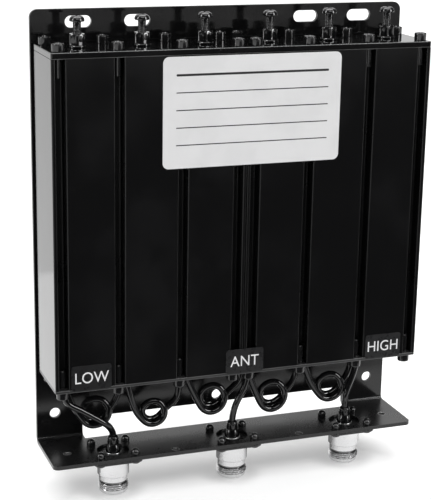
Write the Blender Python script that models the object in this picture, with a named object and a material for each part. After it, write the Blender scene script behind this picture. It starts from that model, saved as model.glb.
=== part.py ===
"""A duplexer with six tuned cavities: two extruded blocks side by side on a bent sheet bracket.

Metres, +Z up, front towards -Y, +X to the right seen from the front.
The origin is on the floor, under the middle of the object's box.
"""

import math

import bmesh
import bpy
import numpy as np
from mathutils import Matrix, Vector

MM = 0.001

# Main sizes, in millimetres
BODY_WIDTH = 196.0
BODY_DEPTH = 35.0
BODY_FRONT_Y = -20.0
BODY_BOTTOM_Z = 60.9
BODY_HEIGHT = 167.0
TOP_COVER_THICK = 3.0
BOTTOM_COVER_THICK = 1.5
SEAM_GAP = 0.3
COVER_GAP = 0.05
SEAT_GAP = 0.05

# Cavity block section
CAVITY_INSET = 2.6
CAVITY_WEB = 2.6
END_WALL = 2.3
CAVITY_NOTCH = 5.6
CAVITY_STEP_INNER = 3.4
CAVITY_STEP_END = 6.2
CHANNEL_FROM_EDGE = 4.4
CHANNEL_WIDTH = 4.6
CHANNEL_DEPTH = 6.4
EDGE_CHAMFER = 0.45

# Cover screws
SCREW_HEAD_DIA = 6.0
SCREW_HEAD_HIGH = 4.0
SCREW_SHANK_DIA = 3.5
SCREW_REACH = 9.0
SCREW_ROW_INSET = 4.1
SCREW_SIDES = 10

# Tuning screws and lock nuts
TUNER_SHANK_DIA = 4.1
TUNER_HEAD_DIA = 7.2
TUNER_HEAD_HIGH = 2.8
TUNER_LENGTH = 42.0
TUNER_HEAD_ABOVE_COVER = 12.3
TUNER_SET_HIGHER = (0.0, 0.0, 0.4, 0.5, 0.9, 0.9)
TUNER_HOLE_DIA = 4.5
LOCK_NUT_FLATS = 7.4
LOCK_NUT_HIGH = 5.4
LOCK_WASHER_DIA = 8.6
LOCK_WASHER_HIGH = 1.0
SLOT_WIDTH = 1.1
SLOT_DEEP = 1.3

# Resonator rods and coupling loops inside the cavities
ROD_DIA = 11.0
ROD_BORE_DIA = 7.4
ROD_BORE_DEEP = 34.0
ROD_TOP_GAP = 20.0
ROD_FOOT_DIA = 14.0
ROD_FOOT_HIGH = 3.0
LOOP_WIRE_DIA = 1.6
LOOP_HIGH = 30.0
LOOP_SPAN = 8.6

# Bracket
SHEET_THICK = 2.0
BRACKET_WIDTH = 198.0
BRACKET_FACE_Y = 18.0
BRACKET_TOP_Z = 243.9
SHELF_TOP_Z = 22.1
SHELF_FRONT_Y = -18.6
BEND_INNER_RADIUS = 2.0
PLATE_CORNER_RADIUS = 4.0
SHELF_CORNER_RADIUS = 3.0
SLOT_LENGTH = 13.4
SLOT_HIGH = 5.9
SLOT_CENTRE_Z = 237.6
SLOT_INNER_X = 45.0
SLOT_OUTER_X = 75.0
STRIP_HOLE_DIA = 5.6
STRIP_HOLE_X = 89.3
STRIP_HOLE_Z = 35.9
WINDOW_HALF_WIDTH = 74.7
WINDOW_TOP_Z = 31.6
WINDOW_REAR_Y = 12.6
WINDOW_CORNER_RADIUS = 2.0
SHELF_HOLE_DIA = 3.8
SHELF_END_HOLE_X = 88.6
SHELF_END_HOLE_Y = -4.0
SHELF_MID_HOLE_X = 34.4
SHELF_MID_HOLE_Y = -15.3
SPACER_WIDTH = 12.0
SPACER_FROM_END = 10.0
BRACKET_SCREW_DIA = 4.0
BRACKET_SCREW_HEAD_DIA = 7.6
BRACKET_SCREW_Z = (84.2, 204.2)
BRACKET_SCREW_REACH = 2.2
BRACKET_SCREW_SUNK = 0.15

# Connectors
CONNECTOR_SPACING = 65.0
CONNECTOR_Y = -6.0
FLANGE_SIDE = 25.4
FLANGE_THICK = 1.2
FLANGE_HOLE_SPACING = 18.3
FLANGE_CORNER_RADIUS = 3.2
COLLAR_DIA = 16.3
COLLAR_BOTTOM_Z = 9.6
NECK_DIA = 14.6
NECK_BOTTOM_Z = 6.5
GROOVE_DIA = 13.4
GROOVE_BOTTOM_Z = 5.4
THREAD_DIA = 15.9
THREAD_BOTTOM_Z = 2.2
NOSE_DIA = 14.9
NOSE_END_DIA = 14.0
SOCKET_DIA = 9.2
SOCKET_DEEP = 9.0
PLUG_SUNK = 1.6
SHELF_PORT_DIA = 16.6
BASE_PLUG_DIA = 14.6
CONTACT_DIA = 3.2
CONTACT_BORE_DIA = 1.7
CONTACT_TIP_Z = 4.7
INSULATOR_DIA = 8.8
FLANGE_SCREW_DIA = 2.5
FLANGE_NUT_FLATS = 4.3
FLANGE_NUT_HIGH = 2.0
FLANGE_SCREW_TIP_HIGH = 1.4
FLANGE_SCREW_HEAD_DIA = 5.4
FLANGE_SCREW_HEAD_HIGH = 1.6
FLANGE_SCREW_HOLE_DIA = 3.2
HOOD_BASE_DIA = 8.6
HOOD_NECK_DIA = 6.0
HOOD_BASE_HIGH = 0.9
HOOD_CONE_HIGH = 4.6
HOOD_HIGH = 9.3
HOOD_BORE_DIA = 4.2

# Coaxial cable
COAX_DIA = 3.4
CABLE_PORT_WIDTH = 4.8
LEAD_LEAN = 0.3
ENTRY_FROM_CAVITY = -9.4
FEED_ROW_Y = -8.4
LEAD_OUT_Y = -4.4
LEAD_IN_Y = -0.2
COAX_ABOVE_FLOOR = 3.0
LINK_RING_RADIUS = (6.6, 5.7, 6.4, 6.6, 6.4)
LINK_RING_BELOW_BODY = (17.5, 21.5, 17.3, 19.5, 18.5)
LINK_RING_SHIFT = (1.0, -0.2, -0.95, 0.0, 1.2)
LINK_LEAD_SAG = (0.8, 0.8, 1.6, 1.8, 1.0)

# Labels
LABEL_THICK = 0.2
LABEL_GAP = 0.1
MAIN_LABEL_WIDTH = 92.4
MAIN_LABEL_HIGH = 54.1
MAIN_LABEL_X = 2.25
MAIN_LABEL_BELOW_TOP = 30.5
MAIN_LABEL_RADIUS = 3.0
PORT_LABEL_WIDTH = 20.4
PORT_LABEL_HIGH = 12.8
PORT_LABEL_RADIUS = 1.5
PORT_LABEL_ABOVE_BOTTOM = 7.4
PORT_LABEL_FROM_LEFT = 18.1
PORT_LABEL_MIDDLE_X = 0.7
PORT_LABEL_FROM_RIGHT = 19.2

# Derived positions
BODY_BACK_Y = BODY_FRONT_Y + BODY_DEPTH
BODY_MID_Y = BODY_FRONT_Y + BODY_DEPTH / 2
BODY_TOP_Z = BODY_BOTTOM_Z + BODY_HEIGHT
COVER_TOP_UNDER_Z = BODY_TOP_Z - TOP_COVER_THICK
FLOOR_Z = BODY_BOTTOM_Z + BOTTOM_COVER_THICK
HALF_BLOCK = BODY_WIDTH / 4
CAVITY_PITCH = (HALF_BLOCK - END_WALL + CAVITY_WEB / 2) / 1.5
CAVITY_CLEAR_WIDTH = CAVITY_PITCH - CAVITY_WEB
ROD_HIGH = COVER_TOP_UNDER_Z - FLOOR_Z - ROD_TOP_GAP
SPACER_X = BODY_WIDTH / 2 - SPACER_FROM_END
SHELF_UNDER_Z = SHELF_TOP_Z - SHEET_THICK
PLUG_TOP_Z = SHELF_TOP_Z - PLUG_SUNK
HOOD_LOW_Z = PLUG_TOP_Z + SEAT_GAP
HOOD_TOP_Z = HOOD_LOW_Z + HOOD_HIGH
BRACKET_BACK_Y = BRACKET_FACE_Y + SHEET_THICK
BLOCK_CHANNELS = (
    -HALF_BLOCK + CHANNEL_FROM_EDGE,
    -CAVITY_PITCH / 2,
    CAVITY_PITCH / 2,
    HALF_BLOCK - CHANNEL_FROM_EDGE,
)
CHANNEL_XS = [side * HALF_BLOCK + x for side in (-1, 1) for x in BLOCK_CHANNELS]
CAVITY_XS = [
    side * HALF_BLOCK + step * CAVITY_PITCH for side in (-1, 1) for step in (-1, 0, 1)
]
ENTRY_XS = [x + ENTRY_FROM_CAVITY for x in CAVITY_XS]
SCREW_ROW_YS = (BODY_FRONT_Y + SCREW_ROW_INSET, BODY_BACK_Y - SCREW_ROW_INSET)
CONNECTOR_XS = {"low": -CONNECTOR_SPACING, "antenna": 0.0, "high": CONNECTOR_SPACING}
MAIN_LABEL_Z = BODY_TOP_Z - MAIN_LABEL_BELOW_TOP
PORT_LABEL_Z = BODY_BOTTOM_Z + PORT_LABEL_ABOVE_BOTTOM
PORT_LABEL_X = {
    "low": -BODY_WIDTH / 2 + PORT_LABEL_FROM_LEFT,
    "antenna": PORT_LABEL_MIDDLE_X,
    "high": BODY_WIDTH / 2 - PORT_LABEL_FROM_RIGHT,
}
# Each feed's bends, as shares of the way across, up from the hood, and from its row to the hood
FEED_BENDS = {
    "low": (
        (0.024, 0.711, 0.0),
        (0.378, 0.504, 0.0),
        (0.795, 0.268, 0.0),
        (0.937, 0.146, 0.58),
    ),
    "antenna": (
        (0.013, 0.852, 0.0),
        (0.316, 0.592, 0.0),
        (0.75, 0.366, 0.25),
        (0.934, 0.196, 0.67),
    ),
    "high": (
        (0.015, 0.852, 0.0),
        (0.09, 0.695, 0.12),
        (0.41, 0.507, 0.44),
        (0.82, 0.319, 0.88),
        (0.97, 0.177, 1.0),
    ),
}
FEED_ROWS = {"low": FEED_ROW_Y, "antenna": FEED_ROW_Y, "high": LEAD_OUT_Y}


def clear_scene():
    for obj in list(bpy.data.objects):
        bpy.data.objects.remove(obj, do_unlink=True)


def material(name, colour, roughness, metallic):
    made = bpy.data.materials.new(name)
    made.use_nodes = True
    shader = made.node_tree.nodes["Principled BSDF"]
    shader.inputs["Base Color"].default_value = (*colour, 1.0)
    shader.inputs["Roughness"].default_value = roughness
    shader.inputs["Metallic"].default_value = metallic
    made.diffuse_color = (*colour, 1.0)
    return made


def add_mesh(name, bm, look=None, helper=False, round_piece=False):
    """An object from a bmesh in millimetres, at the world origin."""
    mesh = bpy.data.meshes.new(name)
    bm.to_mesh(mesh)
    bm.free()
    mesh.transform(Matrix.Scale(MM, 4))
    obj = bpy.data.objects.new(name, mesh)
    bpy.context.scene.collection.objects.link(obj)
    if look is not None:
        mesh.materials.append(look)
    if helper:
        obj.hide_render = True
        obj.display_type = "WIRE"
    if round_piece:
        smooth(obj)
    return obj


def smooth(obj, angle=35.0):
    obj.data.shade_smooth()
    obj.data.set_sharp_from_angle(angle=math.radians(angle))


def arc(cx, cy, radius, start, end, steps):
    """Points of an arc in a plane, angles in degrees."""
    turns = [math.radians(start + (end - start) * i / steps) for i in range(steps + 1)]
    return [(cx + radius * math.cos(t), cy + radius * math.sin(t)) for t in turns]


def circle(cx, cy, radius, steps, turn=0.0):
    return arc(cx, cy, radius, turn, turn + 360.0, steps)[:-1]


def rounded_rectangle(cx, cy, width, high, radius, steps=4):
    points = []
    for sx, sy, start in ((1, 1, 0), (-1, 1, 90), (-1, -1, 180), (1, -1, 270)):
        x = cx + sx * (width / 2 - radius)
        y = cy + sy * (high / 2 - radius)
        points += arc(x, y, radius, start, start + 90, steps)
    return points


def obround(cx, cy, length, width, steps=8):
    """A slot outline, long along the first direction."""
    reach = (length - width) / 2
    return arc(cx + reach, cy, width / 2, -90, 90, steps) + arc(
        cx - reach, cy, width / 2, 90, 270, steps
    )


def prism(bm, outline, low, high, axis="z"):
    """Adds an extruded outline to a bmesh. The outline lies across the axis."""
    place = {
        "z": lambda u, v, w: (u, v, w),
        "y": lambda u, v, w: (u, w, v),
        "x": lambda u, v, w: (w, u, v),
    }[axis]
    verts = [bm.verts.new(place(u, v, low)) for u, v in outline]
    face = bm.faces.new(verts)
    made = bmesh.ops.extrude_face_region(bm, geom=[face])
    shift = Vector(place(0, 0, high - low))
    moved = [item for item in made["geom"] if isinstance(item, bmesh.types.BMVert)]
    bmesh.ops.translate(bm, verts=moved, vec=shift)
    faces = {face for vert in verts + moved for face in vert.link_faces}
    bmesh.ops.recalc_face_normals(bm, faces=list(faces))


def turned(bm, profile, cx, cy, steps=32):
    """Adds a solid of revolution about a vertical axis: profile is (radius, z) pairs."""
    older = set(bm.faces)
    verts = [bm.verts.new((cx + r, cy, z)) for r, z in profile]
    edges = [bm.edges.new(pair) for pair in zip(verts, verts[1:])]
    bmesh.ops.spin(
        bm,
        geom=verts + edges,
        cent=(cx, cy, 0),
        axis=(0, 0, 1),
        angle=2 * math.pi,
        steps=steps,
        use_merge=True,
    )
    bmesh.ops.remove_doubles(bm, verts=bm.verts, dist=1e-5)
    made = [face for face in bm.faces if face not in older]
    bmesh.ops.recalc_face_normals(bm, faces=made)


def boolean(obj, other, operation):
    modifier = obj.modifiers.new(operation.lower(), "BOOLEAN")
    modifier.solver = "EXACT"
    modifier.operation = operation
    modifier.object = other
    return modifier


def hexagon(cx, cy, flats, turn=0.0):
    return circle(cx, cy, flats / math.sqrt(3), 6, turn)


# Cavity blocks


def channel_outline(x, face, inward):
    """One open screw channel of the section, as points that run with growing x."""
    half = CHANNEL_WIDTH / 2
    floor = face + inward * CHANNEL_DEPTH
    round_off = 1.0
    chamfer = EDGE_CHAMFER
    return [
        (x - half - chamfer, face),
        (x - half, face + inward * chamfer),
        (x - half, floor - inward * round_off),
        (x - half + round_off, floor),
        (x + half - round_off, floor),
        (x + half, floor - inward * round_off),
        (x + half, face + inward * chamfer),
        (x + half + chamfer, face),
    ]


def block_outline(centre, outer_side):
    """The block's outer section. The edge at the seam stands back by half the seam's gap."""
    left = centre - HALF_BLOCK + (SEAM_GAP / 2 if outer_side > 0 else 0)
    right = centre + HALF_BLOCK - (SEAM_GAP / 2 if outer_side < 0 else 0)
    corner = 0.5
    front = [(left, BODY_FRONT_Y + corner), (left + corner, BODY_FRONT_Y)]
    for x in BLOCK_CHANNELS:
        front += channel_outline(centre + x, BODY_FRONT_Y, 1)
    front += [(right - corner, BODY_FRONT_Y), (right, BODY_FRONT_Y + corner)]
    back = [(left, BODY_BACK_Y - corner), (left + corner, BODY_BACK_Y)]
    for x in BLOCK_CHANNELS:
        back += channel_outline(centre + x, BODY_BACK_Y, -1)
    back += [(right - corner, BODY_BACK_Y), (right, BODY_BACK_Y - corner)]
    return front + back[::-1]


def cavity_outline(x, left_step, right_step):
    """A cavity with its corners stepped in round the screw channels."""
    left = x - CAVITY_CLEAR_WIDTH / 2
    right = x + CAVITY_CLEAR_WIDTH / 2
    front = BODY_FRONT_Y + CAVITY_INSET
    back = BODY_BACK_Y - CAVITY_INSET
    inner_left = left + left_step
    inner_right = right - right_step
    notch = CAVITY_NOTCH
    slope = 1.2
    return [
        (inner_left, front),
        (inner_right, front),
        (inner_right, front + notch),
        (inner_right + slope, front + notch + slope),
        (right, front + notch + slope),
        (right, back - notch - slope),
        (inner_right + slope, back - notch - slope),
        (inner_right, back - notch),
        (inner_right, back),
        (inner_left, back),
        (inner_left, back - notch),
        (inner_left - slope, back - notch - slope),
        (left, back - notch - slope),
        (left, front + notch + slope),
        (inner_left - slope, front + notch + slope),
        (inner_left, front + notch),
    ]


def cavity_block(name, side, look):
    centre = side * HALF_BLOCK
    bm = bmesh.new()
    low = FLOOR_Z + COVER_GAP
    high = COVER_TOP_UNDER_Z - COVER_GAP
    prism(bm, block_outline(centre, side), low, high)
    block = add_mesh(name, bm, look)
    cut = bmesh.new()
    for step in (-1, 0, 1):
        left_step = CAVITY_STEP_END if step < 0 else CAVITY_STEP_INNER
        right_step = CAVITY_STEP_END if step > 0 else CAVITY_STEP_INNER
        outline = cavity_outline(centre + step * CAVITY_PITCH, left_step, right_step)
        prism(cut, outline, low - 5, high + 5)
    boolean(block, add_mesh(name + "_cavities", cut, helper=True), "DIFFERENCE")
    cut = bmesh.new()
    for z in BRACKET_SCREW_Z:
        hole = circle(side * SPACER_X, z, BRACKET_SCREW_DIA / 2 + 0.25, 8)
        prism(cut, hole, BODY_BACK_Y - CAVITY_INSET - 1, BODY_BACK_Y + 1, "y")
    boolean(block, add_mesh(name + "_tapped", cut, helper=True), "DIFFERENCE")
    return block


# Covers with their screws


def cap_screws(bm, plate_low, plate_high, up):
    """The cover's cap screws: heads outside the plate and shanks into the channels."""
    for y in SCREW_ROW_YS:
        for x in CHANNEL_XS:
            face = plate_high if up > 0 else plate_low
            inner = plate_low if up > 0 else plate_high
            head = SCREW_HEAD_DIA / 2
            shank = SCREW_SHANK_DIA / 2
            top = face + up * SCREW_HEAD_HIGH
            profile = [
                (0, top),
                (head, top),
                (head, face - up * 0.5),
                (shank, face - up * 0.5),
                (shank, inner - up * SCREW_REACH),
                (0, inner - up * SCREW_REACH),
            ]
            turned(bm, profile, x, y, SCREW_SIDES)


def cover(name, low, high, up, holes, look):
    bm = bmesh.new()
    outline = rounded_rectangle(0, BODY_MID_Y, BODY_WIDTH, BODY_DEPTH, 0.8, 3)
    prism(bm, outline, low, high)
    plate = add_mesh(name, bm, look)
    edge = plate.modifiers.new("edge", "BEVEL")
    edge.width = 0.35 * MM
    edge.segments = 1
    edge.limit_method = "ANGLE"
    bm = bmesh.new()
    cap_screws(bm, low, high, up)
    boolean(plate, add_mesh(name + "_screws", bm, helper=True), "UNION")
    bm = bmesh.new()
    for outline in holes:
        prism(bm, outline, low - 3, high + 3)
    boolean(plate, add_mesh(name + "_holes", bm, helper=True), "DIFFERENCE")
    return plate


def cable_ports():
    """Outlines of the cable holes in the bottom cover, one for each cable that passes."""
    ports = []
    for index, x in enumerate(ENTRY_XS):
        rows = []
        if index < 5:
            rows.append(LEAD_OUT_Y)
        if index > 0:
            rows.append(LEAD_IN_Y)
        if index == 0 or index == 3:
            rows.append(FEED_ROW_Y)
        if index == 5:
            rows.append(LEAD_OUT_Y)
        low = min(rows)
        high = max(rows)
        length = high - low + CABLE_PORT_WIDTH
        turned_slot = obround((low + high) / 2, x, length, CABLE_PORT_WIDTH, 6)
        ports.append([(v, u) for u, v in turned_slot])
    return ports


# Tuning screws, lock nuts, rods and coupling loops


def tuning_screw(name, x, higher, look):
    """The origin is on the screw's axis, under its head."""
    shank = TUNER_SHANK_DIA / 2
    head = TUNER_HEAD_DIA / 2
    profile = [
        (0, -TUNER_LENGTH),
        (shank - 0.7, -TUNER_LENGTH),
        (shank, -TUNER_LENGTH + 0.7),
        (shank, 0),
        (head, 0),
        (head, TUNER_HEAD_HIGH * 0.5),
        (head * 0.68, TUNER_HEAD_HIGH),
        (0, TUNER_HEAD_HIGH),
    ]
    bm = bmesh.new()
    turned(bm, profile, 0, 0, 12)
    screw = add_mesh(name, bm, look, round_piece=True)
    cut = bmesh.new()
    half = SLOT_WIDTH / 2
    for first, second in ((half, 2.4), (2.4, half)):
        outline = [(-first, -second), (first, -second), (first, second), (-first, second)]
        prism(cut, outline, TUNER_HEAD_HIGH - SLOT_DEEP, TUNER_HEAD_HIGH + 1)
        slot = add_mesh(f"{name}_slot_{first > second}", cut, helper=True)
        boolean(screw, slot, "DIFFERENCE")
        slot.parent = screw
        cut = bmesh.new()
    cut.free()
    z = BODY_TOP_Z + TUNER_HEAD_ABOVE_COVER + higher
    screw.location = Vector((x, BODY_MID_Y, z)) * MM
    return screw


def lock_nut(name, x, look):
    """A hexagon nut on its washer, with the corners turned off top and bottom."""
    low = LOCK_WASHER_HIGH
    high = LOCK_WASHER_HIGH + LOCK_NUT_HIGH
    bm = bmesh.new()
    prism(bm, hexagon(0, 0, LOCK_NUT_FLATS, 15), low - 1.0, high + 1.0)
    nut = add_mesh(name, bm, look)
    corner = LOCK_NUT_FLATS / math.sqrt(3)
    flat = LOCK_NUT_FLATS / 2
    shape = bmesh.new()
    profile = [
        (0, low - 0.4),
        (corner + 1, low - 0.4),
        (corner + 1, high - 1.1),
        (flat - 0.2, high),
        (0, high),
    ]
    turned(shape, profile, 0, 0, 12)
    boolean(nut, add_mesh(name + "_corners", shape, helper=True), "INTERSECT")
    washer = bmesh.new()
    disc = LOCK_WASHER_DIA / 2
    ring = [(0, 0), (disc, 0), (disc, low), (0, low)]
    turned(washer, ring, 0, 0, 12)
    boolean(nut, add_mesh(name + "_washer", washer, helper=True), "UNION")
    hole = bmesh.new()
    prism(hole, circle(0, 0, TUNER_HOLE_DIA / 2, 12), -2, high + 2)
    boolean(nut, add_mesh(name + "_hole", hole, helper=True), "DIFFERENCE")
    place = Vector((x, BODY_MID_Y, BODY_TOP_Z + SEAT_GAP)) * MM
    for modifier in nut.modifiers:
        modifier.object.parent = nut
    nut.location = place
    return nut


def resonator_rod(name, x, look):
    foot = ROD_FOOT_DIA / 2
    rod = ROD_DIA / 2
    bore = ROD_BORE_DIA / 2
    profile = [
        (0, 0),
        (foot, 0),
        (foot, ROD_FOOT_HIGH),
        (rod, ROD_FOOT_HIGH),
        (rod, ROD_HIGH),
        (bore, ROD_HIGH),
        (bore, ROD_HIGH - ROD_BORE_DEEP),
        (0, ROD_HIGH - ROD_BORE_DEEP),
    ]
    bm = bmesh.new()
    turned(bm, profile, 0, 0, 12)
    made = add_mesh(name, bm, look, round_piece=True)
    made.location = Vector((x, BODY_MID_Y, FLOOR_Z + SEAT_GAP)) * MM
    return made


def smooth_path(knots, spacing):
    """Evenly spaced points along a smooth curve through the knots."""
    knots = np.array(knots, float)
    padded = np.vstack([2 * knots[0] - knots[1], knots, 2 * knots[-1] - knots[-2]])
    fine = []
    for i in range(1, len(padded) - 2):
        p0, p1, p2, p3 = padded[i - 1 : i + 3]
        for t in np.linspace(0, 1, 24, endpoint=False):
            fine.append(
                0.5
                * (
                    2 * p1
                    + (p2 - p0) * t
                    + (2 * p0 - 5 * p1 + 4 * p2 - p3) * t**2
                    + (3 * p1 - 3 * p2 + p3 - p0) * t**3
                )
            )
    fine.append(knots[-1])
    fine = np.array(fine)
    steps = np.linalg.norm(np.diff(fine, axis=0), axis=1)
    along = np.concatenate([[0], np.cumsum(steps)])
    count = max(2, round(along[-1] / spacing))
    wanted = np.linspace(0, along[-1], count + 1)
    return np.stack([np.interp(wanted, along, fine[:, k]) for k in range(3)], axis=1)


def wire(name, knots, diameter, spacing, look, sides=2):
    """A round wire or cable along a smooth route."""
    points = smooth_path(knots, spacing)
    curve = bpy.data.curves.new(name, "CURVE")
    curve.dimensions = "3D"
    curve.bevel_depth = diameter / 2 * MM
    curve.bevel_resolution = sides
    curve.use_fill_caps = True
    spline = curve.splines.new("POLY")
    spline.points.add(len(points) - 1)
    for point, place in zip(spline.points, points):
        point.co = (*(place * MM), 1.0)
    spline.use_smooth = True
    curve.materials.append(look)
    obj = bpy.data.objects.new(name, curve)
    bpy.context.scene.collection.objects.link(obj)
    return obj


def coupling_loop(name, x, look):
    """A wire hoop beside the rod, from over the cable's end down to the floor."""
    near = LEAD_OUT_Y
    far = near + LOOP_SPAN
    base = FLOOR_Z + LOOP_WIRE_DIA / 2 + SEAT_GAP
    top = FLOOR_Z + LOOP_HIGH
    knots = [
        (x, near, FLOOR_Z + COAX_ABOVE_FLOOR + 0.6),
        (x, near, FLOOR_Z + 12),
        (x, near, top - 3.0),
        (x, near + 1.2, top - 0.9),
        (x, near + 3.4, top),
        (x, far - 3.4, top),
        (x, far - 1.2, top - 0.9),
        (x, far, top - 3.0),
        (x, far, FLOOR_Z + 12),
        (x, far, base),
    ]
    return wire(name, knots, LOOP_WIRE_DIA, 6.5, look)


# Cables under the body


def link_cable(name, index, look):
    """A phasing cable from one cavity to the next, with a full turn on the way."""
    start = ENTRY_XS[index] + LEAD_LEAN
    end = ENTRY_XS[index + 1] - LEAD_LEAN
    radius = LINK_RING_RADIUS[index]
    z = BODY_BOTTOM_Z - LINK_RING_BELOW_BODY[index]
    x = (start + end) / 2 + LINK_RING_SHIFT[index]
    front = LEAD_OUT_Y
    back = LEAD_IN_Y
    inside = FLOOR_Z + COAX_ABOVE_FLOOR

    def ring(turn, share, size=1.0):
        angle = math.radians(turn)
        place = front + (back - front) * share
        return (
            x + radius * size * math.sin(angle),
            place,
            z - radius * size * math.cos(angle),
        )

    drop = LINK_LEAD_SAG[index]
    knots = [
        (start, front, inside),
        (start, front, FLOOR_Z - 1.0),
        (start + 1.0, front, BODY_BOTTOM_Z - 4.3),
        (start + 5.0, front, z + radius * 0.55),
        (x - radius * 1.02, front, z - radius * 0.62 - drop * 0.4),
        (x - radius * 0.52, front, z - radius * 0.96 - drop * 0.85),
        (x, front, z - radius - drop),
        (x + radius * 0.62, front + 0.1, z - radius * 0.86 - drop * 0.6),
        (x + radius * 1.02, front + 0.2, z - radius * 0.36),
        ring(90 + 12, 0.1),
        ring(140, 0.2),
        ring(180, 0.34),
        ring(225, 0.52),
        ring(270, 0.72),
        ring(315, 0.9),
        ring(360, 1.0),
        ring(404, 1.0, 1.02),
        (x + radius * 1.3, back + 0.05, z - radius * 0.1),
        (end - 2.2, back, z + radius * 0.9),
        (end - 0.3, back, BODY_BOTTOM_Z - 4.0),
        (end, back, FLOOR_Z - 1.0),
        (end, back, inside),
    ]
    return wire(name, knots, COAX_DIA, 4.4, look)


def feed_cable(name, entry_x, port, look):
    """A cable from a cavity down into the hood behind a connector."""
    x = CONNECTOR_XS[port]
    row_y = FEED_ROWS[port]
    knots = [
        (entry_x, row_y, FLOOR_Z + COAX_ABOVE_FLOOR),
        (entry_x, row_y, FLOOR_Z - 1.0),
    ]
    for across, up, forward in FEED_BENDS[port]:
        bend_x = entry_x + (x - entry_x) * across
        bend_y = row_y + (CONNECTOR_Y - row_y) * forward
        bend_z = HOOD_TOP_Z + (BODY_BOTTOM_Z - HOOD_TOP_Z) * up
        knots.append((bend_x, bend_y, bend_z))
    knots += [
        (x, CONNECTOR_Y, HOOD_TOP_Z + 1.0),
        (x, CONNECTOR_Y, HOOD_TOP_Z - 2.0),
        (x, CONNECTOR_Y, PLUG_TOP_Z + 2.9),
    ]
    return wire(name, knots, COAX_DIA, 4.2, look)


# Bracket


def bracket_section():
    """The bent sheet seen from the side, as (y, z) points."""
    inner = BEND_INNER_RADIUS
    outer = inner + SHEET_THICK
    cy = BRACKET_FACE_Y - inner
    cz = SHELF_TOP_Z + inner
    inside = arc(cy, cz, inner, -90, 0, 5)
    outside = arc(cy, cz, outer, -90, 0, 5)
    return (
        [(SHELF_FRONT_Y, SHELF_TOP_Z)]
        + inside
        + [(BRACKET_FACE_Y, BRACKET_TOP_Z), (BRACKET_BACK_Y, BRACKET_TOP_Z)]
        + outside[::-1]
        + [(SHELF_FRONT_Y, SHELF_UNDER_Z)]
    )


def corner_cutter(cx, cy, sx, sy, radius):
    """The waste outside one rounded corner whose tip is at cx, cy."""
    past = 2.0
    middle = (cx - sx * radius, cy - sy * radius)
    start = 0 if sx > 0 else 180
    end = 90 if sy > 0 else -90
    if sx < 0:
        end = 90 if sy > 0 else 270
    curve = arc(middle[0], middle[1], radius, start, end, 6)
    return curve + [
        (curve[-1][0], cy + sy * past),
        (cx + sx * past, cy + sy * past),
        (cx + sx * past, curve[0][1]),
    ]


def mounting_bracket(look):
    bm = bmesh.new()
    half = BRACKET_WIDTH / 2
    prism(bm, bracket_section(), -half, half, "x")
    bracket = add_mesh("mounting_bracket", bm, look)
    back = bmesh.new()
    y0 = BRACKET_FACE_Y - 1
    y1 = BRACKET_BACK_Y + 1
    for x in (-SLOT_OUTER_X, -SLOT_INNER_X, SLOT_INNER_X, SLOT_OUTER_X):
        outline = obround(x, SLOT_CENTRE_Z, SLOT_LENGTH, SLOT_HIGH, 6)
        prism(back, outline, y0, y1, "y")
    for x in (-STRIP_HOLE_X, 0.0, STRIP_HOLE_X):
        prism(back, circle(x, STRIP_HOLE_Z, STRIP_HOLE_DIA / 2, 12), y0, y1, "y")
    for sx in (-1, 1):
        tip = corner_cutter(sx * half, BRACKET_TOP_Z, sx, 1, PLATE_CORNER_RADIUS)
        prism(back, tip, y0, y1, "y")
    for x in (-SPACER_X, SPACER_X):
        for z in BRACKET_SCREW_Z:
            shape = [
                (0, 0),
                (BRACKET_SCREW_DIA / 2 + 0.2, 0),
                (BRACKET_SCREW_DIA / 2 + 0.2, 1.3),
                (BRACKET_SCREW_HEAD_DIA / 2 + 0.2, 3.1),
                (BRACKET_SCREW_HEAD_DIA / 2 + 0.2, 4.2),
                (0, 4.2),
            ]
            lathe = bmesh.new()
            turned(lathe, shape, 0, 0, 8)
            lie = Matrix.Rotation(math.radians(-90), 4, "X")
            place = Matrix.Translation((x, BRACKET_FACE_Y - 1.2, z))
            bmesh.ops.transform(lathe, matrix=place @ lie, verts=lathe.verts)
            mesh = bpy.data.meshes.new("countersink")
            lathe.to_mesh(mesh)
            lathe.free()
            back.from_mesh(mesh)
            bpy.data.meshes.remove(mesh)
    boolean(bracket, add_mesh("bracket_back_cuts", back, helper=True), "DIFFERENCE")
    window = bmesh.new()
    span = 2 * WINDOW_HALF_WIDTH
    low = SHELF_TOP_Z - 8
    middle_z = (WINDOW_TOP_Z + low) / 2
    radius = WINDOW_CORNER_RADIUS
    outline = rounded_rectangle(0, middle_z, span, WINDOW_TOP_Z - low, radius, 3)
    prism(window, outline, WINDOW_REAR_Y, BRACKET_BACK_Y + 3, "y")
    boolean(bracket, add_mesh("bracket_window", window, helper=True), "DIFFERENCE")
    shelf = bmesh.new()
    z0 = SHELF_UNDER_Z - 1
    z1 = SHELF_TOP_Z + 1
    for sx in (-1, 1):
        tip = corner_cutter(sx * half, SHELF_FRONT_Y, sx, -1, SHELF_CORNER_RADIUS)
        prism(shelf, tip, z0, z1)
        end_hole = circle(
            sx * SHELF_END_HOLE_X, SHELF_END_HOLE_Y, SHELF_HOLE_DIA / 2, 10
        )
        prism(shelf, end_hole, z0, z1)
        mid_hole = circle(
            sx * SHELF_MID_HOLE_X, SHELF_MID_HOLE_Y, SHELF_HOLE_DIA / 2, 10
        )
        prism(shelf, mid_hole, z0, z1)
    for x in CONNECTOR_XS.values():
        prism(shelf, circle(x, CONNECTOR_Y, SHELF_PORT_DIA / 2, 20), z0, z1)
        for px, py in flange_screw_places(x):
            prism(shelf, circle(px, py, FLANGE_SCREW_HOLE_DIA / 2, 6), z0, z1)
    boolean(bracket, add_mesh("bracket_shelf_cuts", shelf, helper=True), "DIFFERENCE")
    return bracket


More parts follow.
